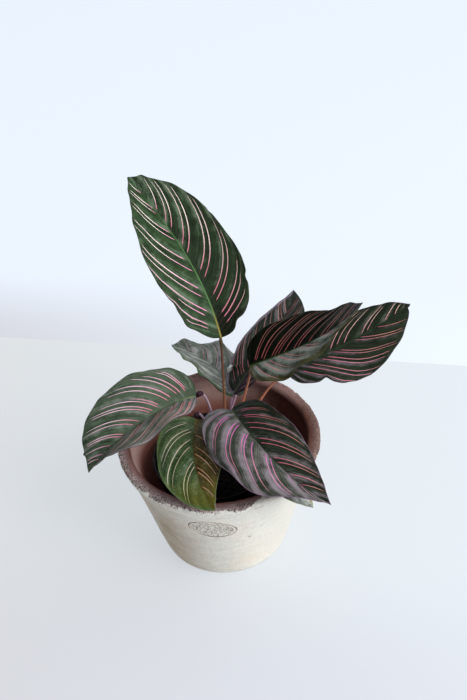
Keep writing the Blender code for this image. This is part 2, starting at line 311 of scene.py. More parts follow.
def put(name: str, data: bpy.types.ID) -> Object:
    """Puts a mesh, light or camera into the scene as an object.

    Args:
        name: Its name.
        data: Its mesh, light or camera.

    Returns:
        The object.
    """
    made = bpy.data.objects.new(name, data)
    bpy.context.scene.collection.objects.link(made)
    return made


def add_piece(name: str, points: Array, faces: list, replaced: tuple[str, ...],
              materials: list[Material], sharp_above: float = 50.0) -> Object:
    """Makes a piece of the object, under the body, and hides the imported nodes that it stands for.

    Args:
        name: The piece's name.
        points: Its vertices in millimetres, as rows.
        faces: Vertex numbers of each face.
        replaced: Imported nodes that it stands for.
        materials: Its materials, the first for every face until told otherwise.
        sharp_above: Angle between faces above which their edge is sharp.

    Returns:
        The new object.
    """
    mesh = bpy.data.meshes.new(name)
    mesh.from_pydata((points * MM).tolist(), [], faces)
    mesh.shade_smooth()
    mesh.set_sharp_from_angle(angle=math.radians(sharp_above))
    for material in materials:
        mesh.materials.append(material)
    made = put(name, mesh)
    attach(made, BODY)
    if replaced:
        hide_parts(*replaced)
    log.info("%s: %d faces", name, len(faces))
    return made


def carry(made: Object, name: str, values: Array) -> None:
    """Stores a number or a vector for each vertex, for the shader to read.

    Args:
        made: The piece.
        name: The attribute's name.
        values: One number or one row of three for each vertex.
    """
    kind, key = ("FLOAT", "value") if values.ndim == 1 else ("FLOAT_VECTOR", "vector")
    layer = made.data.attributes.new(name, kind, "POINT")
    layer.data.foreach_set(key, values.astype(np.float32).ravel())


# Shape of the blades and stalks, mostly as in the part's source

BLADE_THICKNESS = 0.7
BLADE_EDGE_THICKNESS = 0.4
MIDRIB_BASE_THICKNESS = 1.6
MIDRIB_STEPS = 48
FIRST_VEIN = 0.05
VEIN_START_POWER = 3.3
VEIN_BOW = (0.40, 0.86)
OUTLINE_SAMPLES = 240
BASE_HANDLE = 0.38            # of the outline's curves: share of the width beside the stalk
LOWER_HANDLE = 0.30           # shares of the length below and above the widest place
UPPER_HANDLE = 0.27
TIP_HANDLE = 0.90             # and the place on the length that shapes the tip
LINE_SAMPLES = 60
COLUMN_CROWDING = 0.4         # gathers the mesh's columns by the midrib and the margin
ROW_CROWDING = 1.6            # gathers the rows and the pairs of lines towards the tip
PAIR_SPACING = 0.11           # between pairs of lines, in the rows' own measure
PAIR_HALF = 0.016             # half of a regular pair's width, in that measure
PAIR_ENDS = (0.23, 0.95)      # where regular pairs start and end, in that measure
SAME_PAIR = 0.55              # share of the spacing within which lines are one pair
NICK_ENDS = (0.06, 0.97)      # shares of the margin outside which nicks fade
NICK_REACH = 9.0              # how far in from the margin a nick pulls
KEEL_HALF = 1.4               # half of the midrib's width underneath
EDGE_WIDTH = 5.0              # how far in from the margin the blade thins
SOIL_TOP = 76.0
STALK_STRAIGHT = 2.0
STALK_ROOT_RADIUS = 1.3
STALK_TOP_RADIUS = 1.05
STALK_GAP = 0.3
STALK_BURIED = 6.0
STALK_STEPS = 64
STALK_CROWDING = 1.5          # gathers the rings near the blade
STALK_INSET = 0.6             # share of the gap to the blade that the stalk's end bridges
STALK_SLIM = 0.86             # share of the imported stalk's radius
STALK_LUMPS = 0.05            # share of the radius by which it is uneven
COLLAR_SWELL = 0.3            # swelling where it leaves the soil
COLLAR_LENGTH = 5.0
PULVINUS_LENGTH = 12.0


def to_rows(share: Array) -> Array:
    """Measure in which the pairs of lines are evenly spaced, from the share of the margin."""
    return 1 - (1 - np.asarray(share, float)) ** (1 / ROW_CROWDING)


def to_margin(row: Array) -> Array:
    """Share of the margin, from the measure in which the pairs are evenly spaced."""
    return 1 - (1 - np.asarray(row, float)) ** ROW_CROWDING


def regular_lines(first: float, last: float) -> tuple[float, ...]:
    """Evenly spaced pairs of lines, for a half that is mostly hidden.

    Args:
        first: Share of the margin where they start.
        last: Share where they end.

    Returns:
        Shares of the margin of all lines between the two.
    """
    middles = np.arange(*PAIR_ENDS, PAIR_SPACING)
    shares = to_margin(np.sort(np.concatenate([middles - PAIR_HALF, middles + PAIR_HALF])))
    return tuple(float(share) for share in shares if first <= share <= last)


LATE_START = 2.2              # how much further out the lowest lines start
START_WANDER = (-0.02, 0.04)  # seeded differences, as shares of the vein
END_WANDER = (-0.04, 0.04)
SHORT_END = 0.5               # where a short line ends
WIDTH_WANDER = (0.85, 1.15)


@dataclass(frozen=True)
class Lines:
    """The pale lines of one half of a blade."""
    at: tuple[float, ...]             # shares of the margin that they run to
    reach: Pair                       # how far out the lowest and the upper ones run
    short: tuple[float, ...] = ()     # those that stop half-way
    start: float = 0.06               # how far from the midrib they start

    def spans(self, seed: int) -> Array:
        """Start, end and width of each line, as shares of its vein and of a full line.

        Args:
            seed: Seed of the small differences.

        Returns:
            One row for each line.
        """
        draw = np.random.default_rng(seed)
        rows = []
        for share in self.at:
            start = self.start * (LATE_START + (1 - LATE_START) * smooth(0.4, 0.65, share))
            start += draw.uniform(*START_WANDER)
            low, high = self.reach
            end = low + (high - low) * smooth(0.36, 0.70, share) + draw.uniform(*END_WANDER)
            if share in self.short:
                end = SHORT_END + draw.uniform(*END_WANDER)
            rows.append((start, min(end, 1.0), draw.uniform(*WIDTH_WANDER)))
        return np.array(rows)


@dataclass(frozen=True)
class Stalk:
    """Where a stalk grows from and how it reaches its blade."""
    root: Pair                        # its place on the soil
    rise: float                       # how far it holds its first way, straight up
    heading: float                    # of its last way, into the blade, from +X towards +Y
    pitch: float                      # and that way's angle above level
    lead: float = 14.0                # and how far it holds that one
    seat: Seat = Seat.BELOW


@dataclass(frozen=True)
class HalfFinish:
    """Colours of one half of a blade's upper face."""
    dark: Colour
    light: Colour
    painted_sheen: Colour                     # painted sheen, in the bands where the light catches the blade
    line_start: Colour                # of the pale lines by the midrib
    line: Colour                      # further out
    line_tip: Colour                  # and towards the tip
    painted_sheen_share: Pair = (0.2, 0.2)    # share of the painted sheen at the base and at the tip
    painted_sheen_side: float = -1.0          # 1 past each pair of lines, -1 before it
    edge: Colour = (0.0, 0.0, 0.0)    # of the strip along the margin
    edge_width: float = 0.0           # and its width
    base: Colour = (0.0, 0.0, 0.0)    # of the part next to the stalk
    base_reach: float = 0.0           # and how far it runs along the midrib
    tip: Colour = (0.0, 0.0, 0.0)     # of the part next to the tip
    tip_reach: float = 0.0            # and how far it runs back


@dataclass(frozen=True)
class BladeFinish:
    """Looks of a blade's upper face."""
    left: HalfFinish
    right: HalfFinish
    midrib: Colour
    midrib_base: Colour
    margin: Colour
    roughness: float = 0.42
    gloss: float = 0.12
    line_width: float = 0.32          # half the width of a full line, in millimetres
    line_share: float = 0.95          # how well the lines cover the green
    mottle: float = 0.35              # strength of the cells' mottling
    specks: float = 0.0               # share of tiny pale specks on the skin
    speck: Colour = rgb(186, 192, 176)
    painted_highlight: tuple[float, ...] = ()      # a painted highlight where the crease catches the light: place across, along, and its radius
    painted_highlight_colour: Colour = rgb(226, 230, 226)

    def material(self, name: str) -> Material:
        """Builds the upper face's material.

        Args:
            name: The blade's name.

        Returns:
            The material.
        """
        skin = BladeSkin(name + "_upper", self)
        # painted sheen over the green, with brighter painted glints along the veinlets
        painted_sheen = skin.painted_sheen()
        painted_glints = painted_sheen * skin.step(skin.veinlets, 0.0, 1.0, 0.72, 1.0)
        colour = skin.mix(painted_glints * 0.9, skin.ground(), skin.halves("painted_sheen"))
        colour = skin.mix(skin.line_share(), skin.with_strips(colour), skin.line_colour(painted_sheen))
        colour = skin.with_specks_and_painted_highlight(skin.with_rib(colour))
        skin.bump(skin.streaks * 0.8 + skin.cells * 0.35, 0.30, 0.7)
        roughness = skin.step(skin.cells * 0.5 + skin.streaks, 0.4, 1.1,
                              self.roughness - 0.06, self.roughness + 0.08)
        return skin.finish(colour, roughness, specular_ior_level=self.gloss)


class BladeSkin(Surface):
    """Upper face of a blade, with the places and the noise that its colours follow."""

    def __init__(self, name: str, looks: BladeFinish) -> None:
        """Reads what the blade's mesh carries.

        Args:
            name: The material's name.
            looks: The blade's colours.
        """
        super().__init__(name)
        self.looks = looks
        self.run = self.attribute("vein_run")
        self.length = self.attribute("midrib_run")
        self.edge_gap = self.attribute("edge_gap")
        self.across, self.along, self.share = self.parts(self.attribute("flat_place", "Vector"))
        self.band, self.wave, _ = self.parts(self.attribute("band_wave", "Vector"))
        self.side = self.step(self.across, -0.3, 0.3)
        self.streak_place = self.vector(self.run * 3.0, self.share * 170.0, self.side)
        self.streaks = self.grain(self.streak_place, 1.1, 3.0, 0.7)
        self.clouds = self.flat_grain(0.0, 0.10, 3.0, 0.6)
        self.cells = self.flat_grain(5.0, 1.6, 2.0, 0.6)
        veinlet_place = self.vector(self.run * 1.6, self.share * 210.0, self.side)
        self.veinlets = self.step(self.grain(veinlet_place, 1.0, 1.0), 0.38, 0.62)

    def flat_grain(self, layer: float, scale: float, detail: float, rough: float) -> Signal:
        """Noise over the flat blade, as grain gives it, with a layer of its own for each use."""
        return self.grain(self.vector(self.across, self.along, layer), scale, detail, rough)

    def halves(self, part: str) -> Signal:
        """Mixes the two halves' colours of one name."""
        return self.mix(self.side, getattr(self.looks.right, part), getattr(self.looks.left, part))

    def blotted(self, value: Signal, reach: float) -> Signal:
        """Shifts a signal either way in soft blots, by up to half of reach."""
        return (self.clouds - 0.5) * reach + value

    def ground(self) -> Signal:
        """Green of the blade, dark and light in streaks, clouds, veinlets and cells.

        Returns:
            The colour.
        """
        mottle = self.looks.mottle
        tone = self.streaks * 0.9 + self.clouds * 0.9 + self.veinlets * 0.35 + self.band * 0.10
        tone = self.step(self.cells * mottle + tone, 0.68 + 0.5 * mottle, 1.52 + 0.5 * mottle)
        return self.mix(tone, self.halves("dark"), self.halves("light"))

    def painted_sheen(self) -> Signal:
        """Share of the painted sheen, in bands on one side of each pair of lines where the light catches
        the blade.

        Returns:
            The share, from 0 to 1.
        """
        left, right = self.looks.left, self.looks.right
        shares = (self.step(self.length, 0.1, 0.9, *half.painted_sheen_share) for half in (right, left))
        level = self.blend(self.side, *shares)
        facing = self.blend(self.side, right.painted_sheen_side, left.painted_sheen_side)
        fading = self.step(self.flat_grain(3.0, 0.07, 2.0, 0.5), 0.38, 0.60, 0.15, 0.55)
        painted_sheen = self.wave * facing * fading + level + (self.streaks - 0.5) * 1.5
        return self.step(self.blotted(painted_sheen, 1.5), 0.15, 1.15)

    def with_strips(self, colour: Signal) -> Signal:
        """Lays each half's strips next to the stalk, the tip and the margin over a colour.

        Args:
            colour: The colour underneath.

        Returns:
            The new colour.
        """
        loose = self.blotted(self.length, 0.25)
        for half, where in ((self.looks.left, self.side), (self.looks.right, 1.0 - self.side)):
            if half.base_reach:
                strip = self.step(loose, 0.5 * half.base_reach, half.base_reach, 0.9, 0.0)
                colour = self.mix(strip * where, colour, half.base)
            if half.tip_reach:
                strip = self.step(loose, 1 - half.tip_reach, 1 - 0.4 * half.tip_reach, 0.0, 0.85)
                colour = self.mix(strip * where, colour, half.tip)
            if half.edge_width:
                gap = self.blotted(self.edge_gap, 3.0)
                strip = self.step(gap, 0.4 * half.edge_width, half.edge_width, 0.85, 0.0)
                colour = self.mix(strip * where, colour, half.edge)
        return colour

    def line_share(self) -> Signal:
        """How well the pale lines cover the green, ragged and thinner towards their ends.

        Returns:
            The share, from 0 to 1.
        """
        start, end, width = self.parts(self.attribute("line_span", "Vector"))
        opens = self.step(self.run, start - 0.02, start + 0.02)
        closes = self.step(self.run, end - 0.35, end, 1.0, 0.45)
        stops = self.step(self.run, end - 0.06, end, 1.0, 0.0)
        ragged = self.step(self.grain(self.streak_place, 2.5, 2.0), 0.25, 0.75, 0.7, 1.2)
        half_width = closes * stops * opens * width * ragged * self.looks.line_width
        return self.step(half_width - self.attribute("line_gap"), -0.08, 0.10) * self.looks.line_share

    def line_colour(self, painted_sheen: Signal) -> Signal:
        """Colour of the pale lines, pinker by the midrib and, as painted reflection, where the painted
        sheen lies.

        Args:
            painted_sheen: Share of the painted sheen.

        Returns:
            The colour.
        """
        near = self.halves("line_start")
        colour = self.mix(self.step(self.share, 0.5, 0.9), self.halves("line"), self.halves("line_tip"))
        colour = self.mix(self.step(self.run, 0.10, 0.55), near, colour)
        colour = self.mix(painted_sheen * 0.45, colour, near)
        return self.mix(self.step(self.streaks, 0.5, 0.8, 0.0, 0.3), colour, self.halves("dark"))

    def with_rib(self, colour: Signal) -> Signal:
        """Lays the midrib and the thin rim of the margin over a colour.

        Args:
            colour: The colour underneath.

        Returns:
            The new colour.
        """
        width = self.step(self.length, 0.0, 1.0, 0.50, 0.18)
        rib = self.step(abs(self.across), width, width * 1.6, 1.0, 0.0)
        rib_colour = self.mix(self.step(self.length, 0.02, 0.2), self.looks.midrib_base, self.looks.midrib)
        colour = self.mix(rib * self.step(self.length, 0.3, 1.0, 0.9, 0.35), colour, rib_colour)
        return self.mix(self.step(self.edge_gap, 0.20, 0.60, 0.8, 0.0), colour, self.looks.margin)

    def with_specks_and_painted_highlight(self, colour: Signal) -> Signal:
        """Lays the pale specks and the painted highlight over a colour, where the blade has them.

        Args:
            colour: The colour underneath.

        Returns:
            The new colour.
        """
        if self.looks.specks:
            dots = self.blotted(self.flat_grain(11.0, 1.3, 3.0, 0.7), 0.25)
            colour = self.mix(self.step(dots, 0.60, 0.70, 0.0, self.looks.specks), colour, self.looks.speck)
        # painted highlight: a bright patch where the crease catches the light
        if self.looks.painted_highlight:
            *middle, radius = self.looks.painted_highlight
            inputs = {0: self.vector(self.across, self.along, 0.0), 1: (*middle, 0.0)}
            gap = self.signal("ShaderNodeVectorMath", inputs, "Value", operation="DISTANCE")
            patch = self.step((self.cells - 0.5) * 4.0 + gap, 0.6 * radius, radius, 1.0, 0.0)
            colour = self.mix(patch, colour, self.looks.painted_highlight_colour)
        return colour


@dataclass(frozen=True)
class UnderFinish:
    """Deep purple underside of a blade."""
    dark: Colour = rgb(52, 18, 34)
    light: Colour = rgb(98, 44, 66)
    rib: Colour = rgb(120, 78, 74)

    def material(self, name: str) -> Material:
        """Builds the underside's material.

        Args:
            name: The blade's name.

        Returns:
            The material.
        """
        board = Surface(name + "_under")
        across, along, share = board.parts(board.attribute("flat_place", "Vector"))
        vein_place = board.vector(board.attribute("vein_run") * 2.0, share * 170.0, 9.0)
        veins = board.grain(vein_place, 1.1, 3.0, 0.6)
        cells = board.grain(board.vector(across, along, 2.0), 1.9, 2.0)
        tone = board.step(cells * 0.4 + veins, 0.45, 1.0)
        colour = board.mix(tone, self.dark, self.light)
        colour = board.mix(board.step(abs(across), 0.9, 2.2, 0.7, 0.0), colour, self.rib)
        board.bump(veins, 0.3, 0.6)
        return board.finish(colour, board.step(cells, 0.3, 0.7, 0.45, 0.58))


@dataclass(frozen=True)
class StalkFinish:
    """Colours of a stalk from the soil to its blade."""
    lower: Colour
    upper: Colour
    joint: Colour = rgb(62, 26, 38)
    joint_share: float = 0.8
    shade: Colour = rgb(84, 40, 36)   # of the fibres and specks

    def material(self, name: str) -> Material:
        """Builds the stalk's material.

        Args:
            name: The stalk's name.

        Returns:
            The material.
        """
        board = Surface(name + "_skin")
        place = board.place()
        x, y, z = board.parts(place)
        fibres = board.grain(board.vector(x * 2600.0, y * 2600.0, z * 130.0), 1.0, 3.0, 0.6)
        speckle = board.grain(place, 900.0, 2.0)
        colour = board.mix(board.step(board.attribute("stalk_run"), 0.1, 0.9), self.lower, self.upper)
        shade = board.step(speckle * 0.5 + fibres, 0.45, 1.05, 0.0, 0.45)
        colour = board.mix(shade, colour, self.shade)
        joint = board.step(board.attribute("stalk_left"), 0.80, 1.05, self.joint_share, 0.0)
        colour = board.mix(joint, colour, self.joint)
        board.bump(fibres, 0.12, 0.7)
        return board.finish(colour, board.step(speckle, 0.3, 0.7, 0.42, 0.56), specular_ior_level=0.25)


@dataclass(frozen=True)
class Leaf:
    """One blade on its stalk. A value for each half stands as a pair, left and right."""
    name: str
    base: Triple                      # where the midrib starts
    heading: Triple                   # at its base, middle and tip, from +X towards +Y
    pitch: Triple                     # angle above level at the same places
    roll: Pair                        # turn about the midrib, at its base and tip
    length: float                     # of the midrib
    width: Pair                       # of each half, laid flat
    fold: Pair                        # angle of each half above the midrib's level
    curl: Pair                        # how much that angle grows towards the margin
    widest: float                     # share of the length where the blade is widest
    lobe: Pair                        # share of the length that each half reaches back
    fullness: float                   # how full the outline stays towards the tip
    waves: float                      # number of waves along the margin
    wave: Pair                        # their height
    phase: Pair                       # and their angle at the base
    stalk: Stalk
    lines: tuple[Lines, Lines]
    finish: BladeFinish
    stalk_finish: StalkFinish
    seed: int
    slot: Slot = Slot.LEAF_GREEN
    nicks: tuple[tuple, tuple] = ((), ())     # share, width and depth outwards of each, by half
    crease: tuple[float, ...] = ()    # of the left half: place, slant, height and width
    joint_length: float = PULVINUS_LENGTH
    joint_swell: float = 0.6          # of the joint under the blade
    columns: int = 26                 # of the mesh, from midrib to margin
    row_step: float = 0.0085          # between the mesh's rows, in the rows' own measure
    band_relief: float = 0.65         # swelling of the blade between its pairs of lines
    rib_relief: float = 0.28          # height of the midrib
    rib_half: float = 1.1             # and half its width at the base
    ripples: int = 4                  # fine uneven waves near the margin
    ripple_turns: Pair = (5, 14)      # least and most of each one's waves
    ripple_heights: Pair = (0.05, 0.16)

    def frames(self, s: Array) -> tuple[Array, Array, Array]:
        """Directions along the midrib, to its left and out of the upper face.

        Args:
            s: Shares of the midrib.

        Returns:
            Three arrays of unit vectors.
        """
        heading = through_three(self.heading, s)
        along = directions(heading, through_three(self.pitch, s))
        turn = np.radians(heading)
        level = np.stack([-np.sin(turn), np.cos(turn), np.zeros_like(turn)], -1)
        up = np.cross(along, level)
        roll = np.radians((1 - s) * self.roll[0] + s * self.roll[1])[..., None]
        left = level * np.cos(roll) + up * np.sin(roll)
        return along, left, up * np.cos(roll) - level * np.sin(roll)

    def midrib(self) -> tuple[Array, Array]:
        """Shares along the midrib and the places there.

        Returns:
            The shares, and the places as rows.
        """
        s = np.linspace(0, 1, MIDRIB_STEPS + 1)
        steps, _, _ = self.frames((s[1:] + s[:-1]) / 2)
        path = np.cumsum(steps * self.length / MIDRIB_STEPS, axis=0)
        return s, np.vstack([np.zeros(3), path]) + np.array(self.base)

    def margin(self, half: Half) -> tuple[Array, Array]:
        """Flat outline of one half, from base to tip.

        Args:
            half: Which half.

        Returns:
            Its points, and the share of the outline's length at each.
        """
        width, wide = self.width[half.value], self.widest * self.length
        t = np.linspace(0, 1, OUTLINE_SAMPLES)
        back = -self.lobe[half.value] * self.length
        lower = cubic(np.array([0, 0]), np.array([back, BASE_HANDLE * width]),
                      np.array([wide - LOWER_HANDLE * self.length, width]), np.array([wide, width]), t)
        upper = cubic(np.array([wide, width]), np.array([wide + UPPER_HANDLE * self.length, width]),
                      np.array([TIP_HANDLE * self.length, self.fullness * width]),
                      np.array([self.length, 0]), t)
        points = np.vstack([lower, upper[1:]])
        run = run_along(points)
        return points, run / run[-1]

    def veins(self, half: Half, shares: Array, r: Array) -> tuple[Array, Array]:
        """Flat places along the cross-veins.

        Args:
            half: Which half.
            shares: Shares of the margin that the veins run to, one for each row.
            r: Shares of the way along each vein, one for each column.

        Returns:
            Distances along the midrib and out from it, by row and column.
        """
        points, run = self.margin(half)
        end_x = np.interp(shares, run, points[:, 0])[:, None]
        end_y = np.interp(shares, run, points[:, 1])[:, None]
        start = self.length * shares[:, None] ** VEIN_START_POWER
        bow_x = start + VEIN_BOW[0] * (end_x - start)
        bow_y = VEIN_BOW[1] * end_y
        r = r[None, :]
        x = (1 - r) ** 2 * start + 2 * r * (1 - r) * bow_x + r * r * end_x
        return x, 2 * r * (1 - r) * bow_y + r * r * end_y

    def bend(self, half: Half, x: Array, y: Array) -> tuple[Array, Array]:
        """Places in space, and the upper face's normals, of flat places of one half.

        Args:
            half: Which half.
            x: Distances along the midrib.
            y: Distances out from it.

        Returns:
            Places and unit normals.
        """
        share = x / self.length
        s = np.clip(share, 0.0, 1.0)
        along, left, up = self.frames(s)
        runs, path = self.midrib()
        centre = np.stack([np.interp(s, runs, path[:, axis]) for axis in range(3)], -1)
        centre = centre + along * ((share - s) * self.length)[..., None]
        width = self.width[half.value]
        fold, curl = math.radians(self.fold[half.value]), math.radians(self.curl[half.value])
        across = y / width
        rise = fold + curl * across
        out = width / curl * (np.sin(rise) - math.sin(fold))
        height = -width / curl * (np.cos(rise) - math.cos(fold))
        ripple = 2 * math.pi * self.waves * s + math.radians(self.phase[half.value])
        height = height + across ** 2 * self.wave[half.value] * np.sin(ripple)
        outward = left if half is Half.LEFT else -left
        normal = up * np.cos(rise)[..., None] - outward * np.sin(rise)[..., None]
        return centre + outward * out[..., None] + up * height[..., None], normal

    def rows(self) -> Array:
        """Shares of the margin of the mesh's rows, with one on each pale line.

        Returns:
            The shares, from base to tip.
        """
        knots = {FIRST_VEIN, 1.0}
        for lines in self.lines:
            knots.update(lines.at)
        marks = to_rows(sorted(knots))
        rows = [marks[:1]]
        for low, high in zip(marks, marks[1:]):
            steps = max(1, math.ceil((high - low) / self.row_step))
            rows.append(np.linspace(low, high, steps + 1)[1:])
        return to_margin(np.concatenate(rows))

    def bands(self, half: Half, shares: Array) -> tuple[Array, Array]:
        """Swelling between the pairs of lines, and its slope.

        Args:
            half: Which half.
            shares: Shares of the margin.

        Returns:
            The swelling, 0 on a pair and 1 midway to the next, and its slope towards the tip, from -1 to 1.
        """
        marks = to_rows(self.lines[half.value].at)
        pairs = [[marks[0]]]
        for mark in marks[1:]:
            if mark - pairs[-1][0] < SAME_PAIR * PAIR_SPACING:
                pairs[-1].append(mark)
            else:
                pairs.append([mark])
        centres = np.array([np.mean(pair) for pair in pairs])
        before = centres[0] - PAIR_SPACING * np.arange(3, 0, -1)
        after = centres[-1] + PAIR_SPACING * np.arange(1, 5)
        knots = np.concatenate([before, centres, after])
        phase = 2 * math.pi * np.interp(to_rows(shares), knots, np.arange(len(knots)))
        return 0.5 - 0.5 * np.cos(phase), np.sin(phase)

    def line_fields(self, half: Half, x: Array, y: Array) -> tuple[Array, Array]:
        """Distance to the nearest pale line, and that line's span.

        Args:
            half: Which half.
            x: Distances along the midrib.
            y: Distances out from it.

        Returns:
            Distances in millimetres, and start, end and width of the nearest line.
        """
        lines = self.lines[half.value]
        spans = lines.spans(self.seed * 10 + half.value)
        line_x, line_y = self.veins(half, np.array(lines.at), np.linspace(0, 1, LINE_SAMPLES))
        nearest = np.full(x.shape, 1e9)
        chosen = np.zeros(x.shape, int)
        for number, (px, py) in enumerate(zip(line_x, line_y)):
            ax, ay, bx, by = px[:-1], py[:-1], px[1:], py[1:]
            dx, dy = bx - ax, by - ay
            square = np.maximum(dx * dx + dy * dy, 1e-9)
            t = ((x[..., None] - ax) * dx + (y[..., None] - ay) * dy) / square
            t = np.clip(t, 0, 1)
            far = np.hypot(x[..., None] - ax - t * dx, y[..., None] - ay - t * dy).min(-1)
            closer = far < nearest
            nearest[closer] = far[closer]
            chosen[closer] = number
        return nearest, spans[chosen]

    def edge(self, half: Half, x: Array, y: Array) -> tuple[Array, Array, Array]:
        """Flat distance to the margin, and the places once its nicks and bulges are pressed in.

        Args:
            half: Which half.
            x: Distances along the midrib.
            y: Distances out from it.

        Returns:
            Distances in millimetres, and the shifted distances along the midrib and out from it.
        """
        points, run = self.margin(half)
        outward = unit(np.gradient(points, axis=0)[:, ::-1] * (-1, 1))
        shift = np.zeros(len(run))
        for share, reach, depth in self.nicks[half.value]:
            shift += depth * np.exp(-((run - share) / reach) ** 2)
        shift *= smooth(0.0, NICK_ENDS[0], run) * (1 - smooth(NICK_ENDS[1], 1.0, run))
        far = np.hypot(x[..., None] - points[:, 0], y[..., None] - points[:, 1])
        nearest, gap = far.argmin(-1), far.min(-1)
        push = outward[nearest] * (shift[nearest] * (1 - smooth(0.0, NICK_REACH, gap)))[..., None]
        return gap, x + push[..., 0], np.maximum(y + push[..., 1], 0.0)

    def relief(self, half: Half, shares: Array, r: Array, x: Array, y: Array) -> Array:
        """Height of the blade's fine form over its smooth surface.

        Args:
            half: Which half.
            shares: Shares of the margin, by row and column.
            r: Shares along the veins, by row and column.
            x: Distances along the midrib.
            y: Distances out from it.

        Returns:
            Heights in millimetres.
        """
        fade = smooth(0.02, 0.22, r) * (1 - smooth(0.80, 1.0, r)) * (1 - smooth(0.9, 1.0, shares))
        height = self.band_relief * self.bands(half, shares)[0] * fade
        s = np.clip(x / self.length, 0, 1)
        taper = 0.6 * s
        height = height + self.rib_relief * (1 - taper) * np.exp(-(y / (self.rib_half - taper)) ** 2)
        if self.crease and half is Half.LEFT:
            start, slant, rise, reach = self.crease
            height = height + rise * np.exp(-((x - start - slant * y) / reach) ** 2) * smooth(3.0, 12.0, y)
        draw = np.random.default_rng(self.seed + 100 * half.value)
        for _ in range(self.ripples):
            turns, start = draw.uniform(*self.ripple_turns), draw.uniform(0, 2 * math.pi)
            size = draw.uniform(*self.ripple_heights)
            height = height + size * np.sin(2 * math.pi * turns * shares + start) * smooth(0.55, 1.0, r)
        return height

    def half_surface(self, half: Half, shares: Array, r: Array) -> tuple[Array, Array, dict[str, Array]]:
        """Both surfaces of one half, and what its mesh carries for the shader.

        Args:
            half: Which half.
            shares: Shares of the margin, one for each row.
            r: Shares of the way along each vein, one for each column.

        Returns:
            Places above and below, and the carried values by name, all by row and column.
        """
        x, y = self.veins(half, shares, r)
        x[:, 0] = np.maximum(x[:, 0], 0.0)
        grid_shares = np.repeat(shares[:, None], len(r), 1)
        grid_r = np.repeat(r[None, :], len(shares), 0)
        edge, pressed_x, pressed_y = self.edge(half, x, y)
        pressed_x[:, 0], pressed_y[:, 0] = x[:, 0], y[:, 0]
        place, normal = self.bend(half, pressed_x, pressed_y)
        s = np.clip(x / self.length, 0, 1)
        keel = (MIDRIB_BASE_THICKNESS - BLADE_THICKNESS) * (1 - s) * np.exp(-(y / KEEL_HALF) ** 2)
        inner = smooth(0, EDGE_WIDTH, edge)
        thick = BLADE_EDGE_THICKNESS + (BLADE_THICKNESS - BLADE_EDGE_THICKNESS) * inner
        height = self.relief(half, grid_shares, grid_r, x, y)
        gap, span = self.line_fields(half, x, y)
        sign = 1.0 if half is Half.LEFT else -1.0
        carried = {
            "line_gap": gap, "line_span": span, "edge_gap": edge, "vein_run": grid_r, "midrib_run": s,
            "band_wave": np.stack([*self.bands(half, grid_shares), 0 * x], -1),
            "flat_place": np.stack([sign * y, x, grid_shares], -1),
        }
        above = place + normal * height[..., None]
        return above, place + normal * (height - thick - keel)[..., None], carried

    def blade_faces(self, grids: dict[Half, Array], tip: int, used: int) -> tuple[list, int]:
        """Faces of the blade: the upper face, then the edge, then the underside.

        Args:
            grids: Vertex numbers of each half's upper face, by row and column.
            tip: Number of the vertex at the tip.
            used: Number of vertices above, each of which has one below that comes so much later.

        Returns:
            The faces, and the number of the first one of the underside.
        """
        top, wall = [], []
        for half, grid in grids.items():
            quads = grid_quads(grid)
            ends = np.stack([grid[-1, :-1], np.full(grid.shape[1] - 1, tip), grid[-1, 1:]], -1)
            border = np.concatenate([grid[0, :], grid[1:, -1], [tip]])
            walls = np.stack([border[:-1], border[1:], border[1:] + used, border[:-1] + used], -1)
            if half is Half.RIGHT:
                quads, ends, walls = quads[:, ::-1], ends[:, ::-1], walls[:, ::-1]
            top += quads.tolist() + ends.tolist()
            wall += walls.tolist()
        bottom = [[used + corner for corner in reversed(face)] for face in top]
        return top + wall + bottom, len(top) + len(wall)

    def build_blade(self) -> Object:
        """Builds and dresses the blade.

        Returns:
            The piece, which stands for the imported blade.
        """
        shares = self.rows()[:-1]
        t = np.linspace(0, 1, self.columns + 1)
        r = t + COLUMN_CROWDING * (0.5 - 0.5 * np.cos(math.pi * t) - t)
        tip = len(shares)
        used = tip + 1
        grids, surfaces = {}, {}
        for half in Half:
            grids[half] = np.zeros((tip, len(r)), int)
            grids[half][:, 0] = np.arange(tip)
            grids[half][:, 1:] = used + np.arange(tip * self.columns).reshape(tip, -1)
            used += tip * self.columns
            surfaces[half] = self.half_surface(half, shares, r)

        points = np.zeros((2 * used, 3))
        for half, grid in grids.items():
            points[grid], points[used + grid], _ = surfaces[half]
        tip_place, tip_normal = self.bend(Half.LEFT, np.array([self.length]), np.array([0.0]))
        points[tip] = tip_place[0]
        points[used + tip] = tip_place[0] - tip_normal[0] * BLADE_EDGE_THICKNESS
        faces, first_under = self.blade_faces(grids, tip, used)
        name = "blade_" + self.name
        made = add_piece(name, points, faces, ("leaf_" + self.name,),
                         [self.finish.material(name), UnderFinish().material(name)])
        numbers = np.zeros(len(faces), np.int32)
        numbers[first_under:] = 1
        made.data.polygons.foreach_set("material_index", numbers)
        for key, sample in surfaces[Half.LEFT][2].items():
            values = np.zeros((used, *sample.shape[2:]))
            for half, grid in grids.items():
                values[grid] = surfaces[half][2][key]
            values[tip] = sample[-1, -1]
            carry(made, key, np.concatenate([values, values]))
        return made

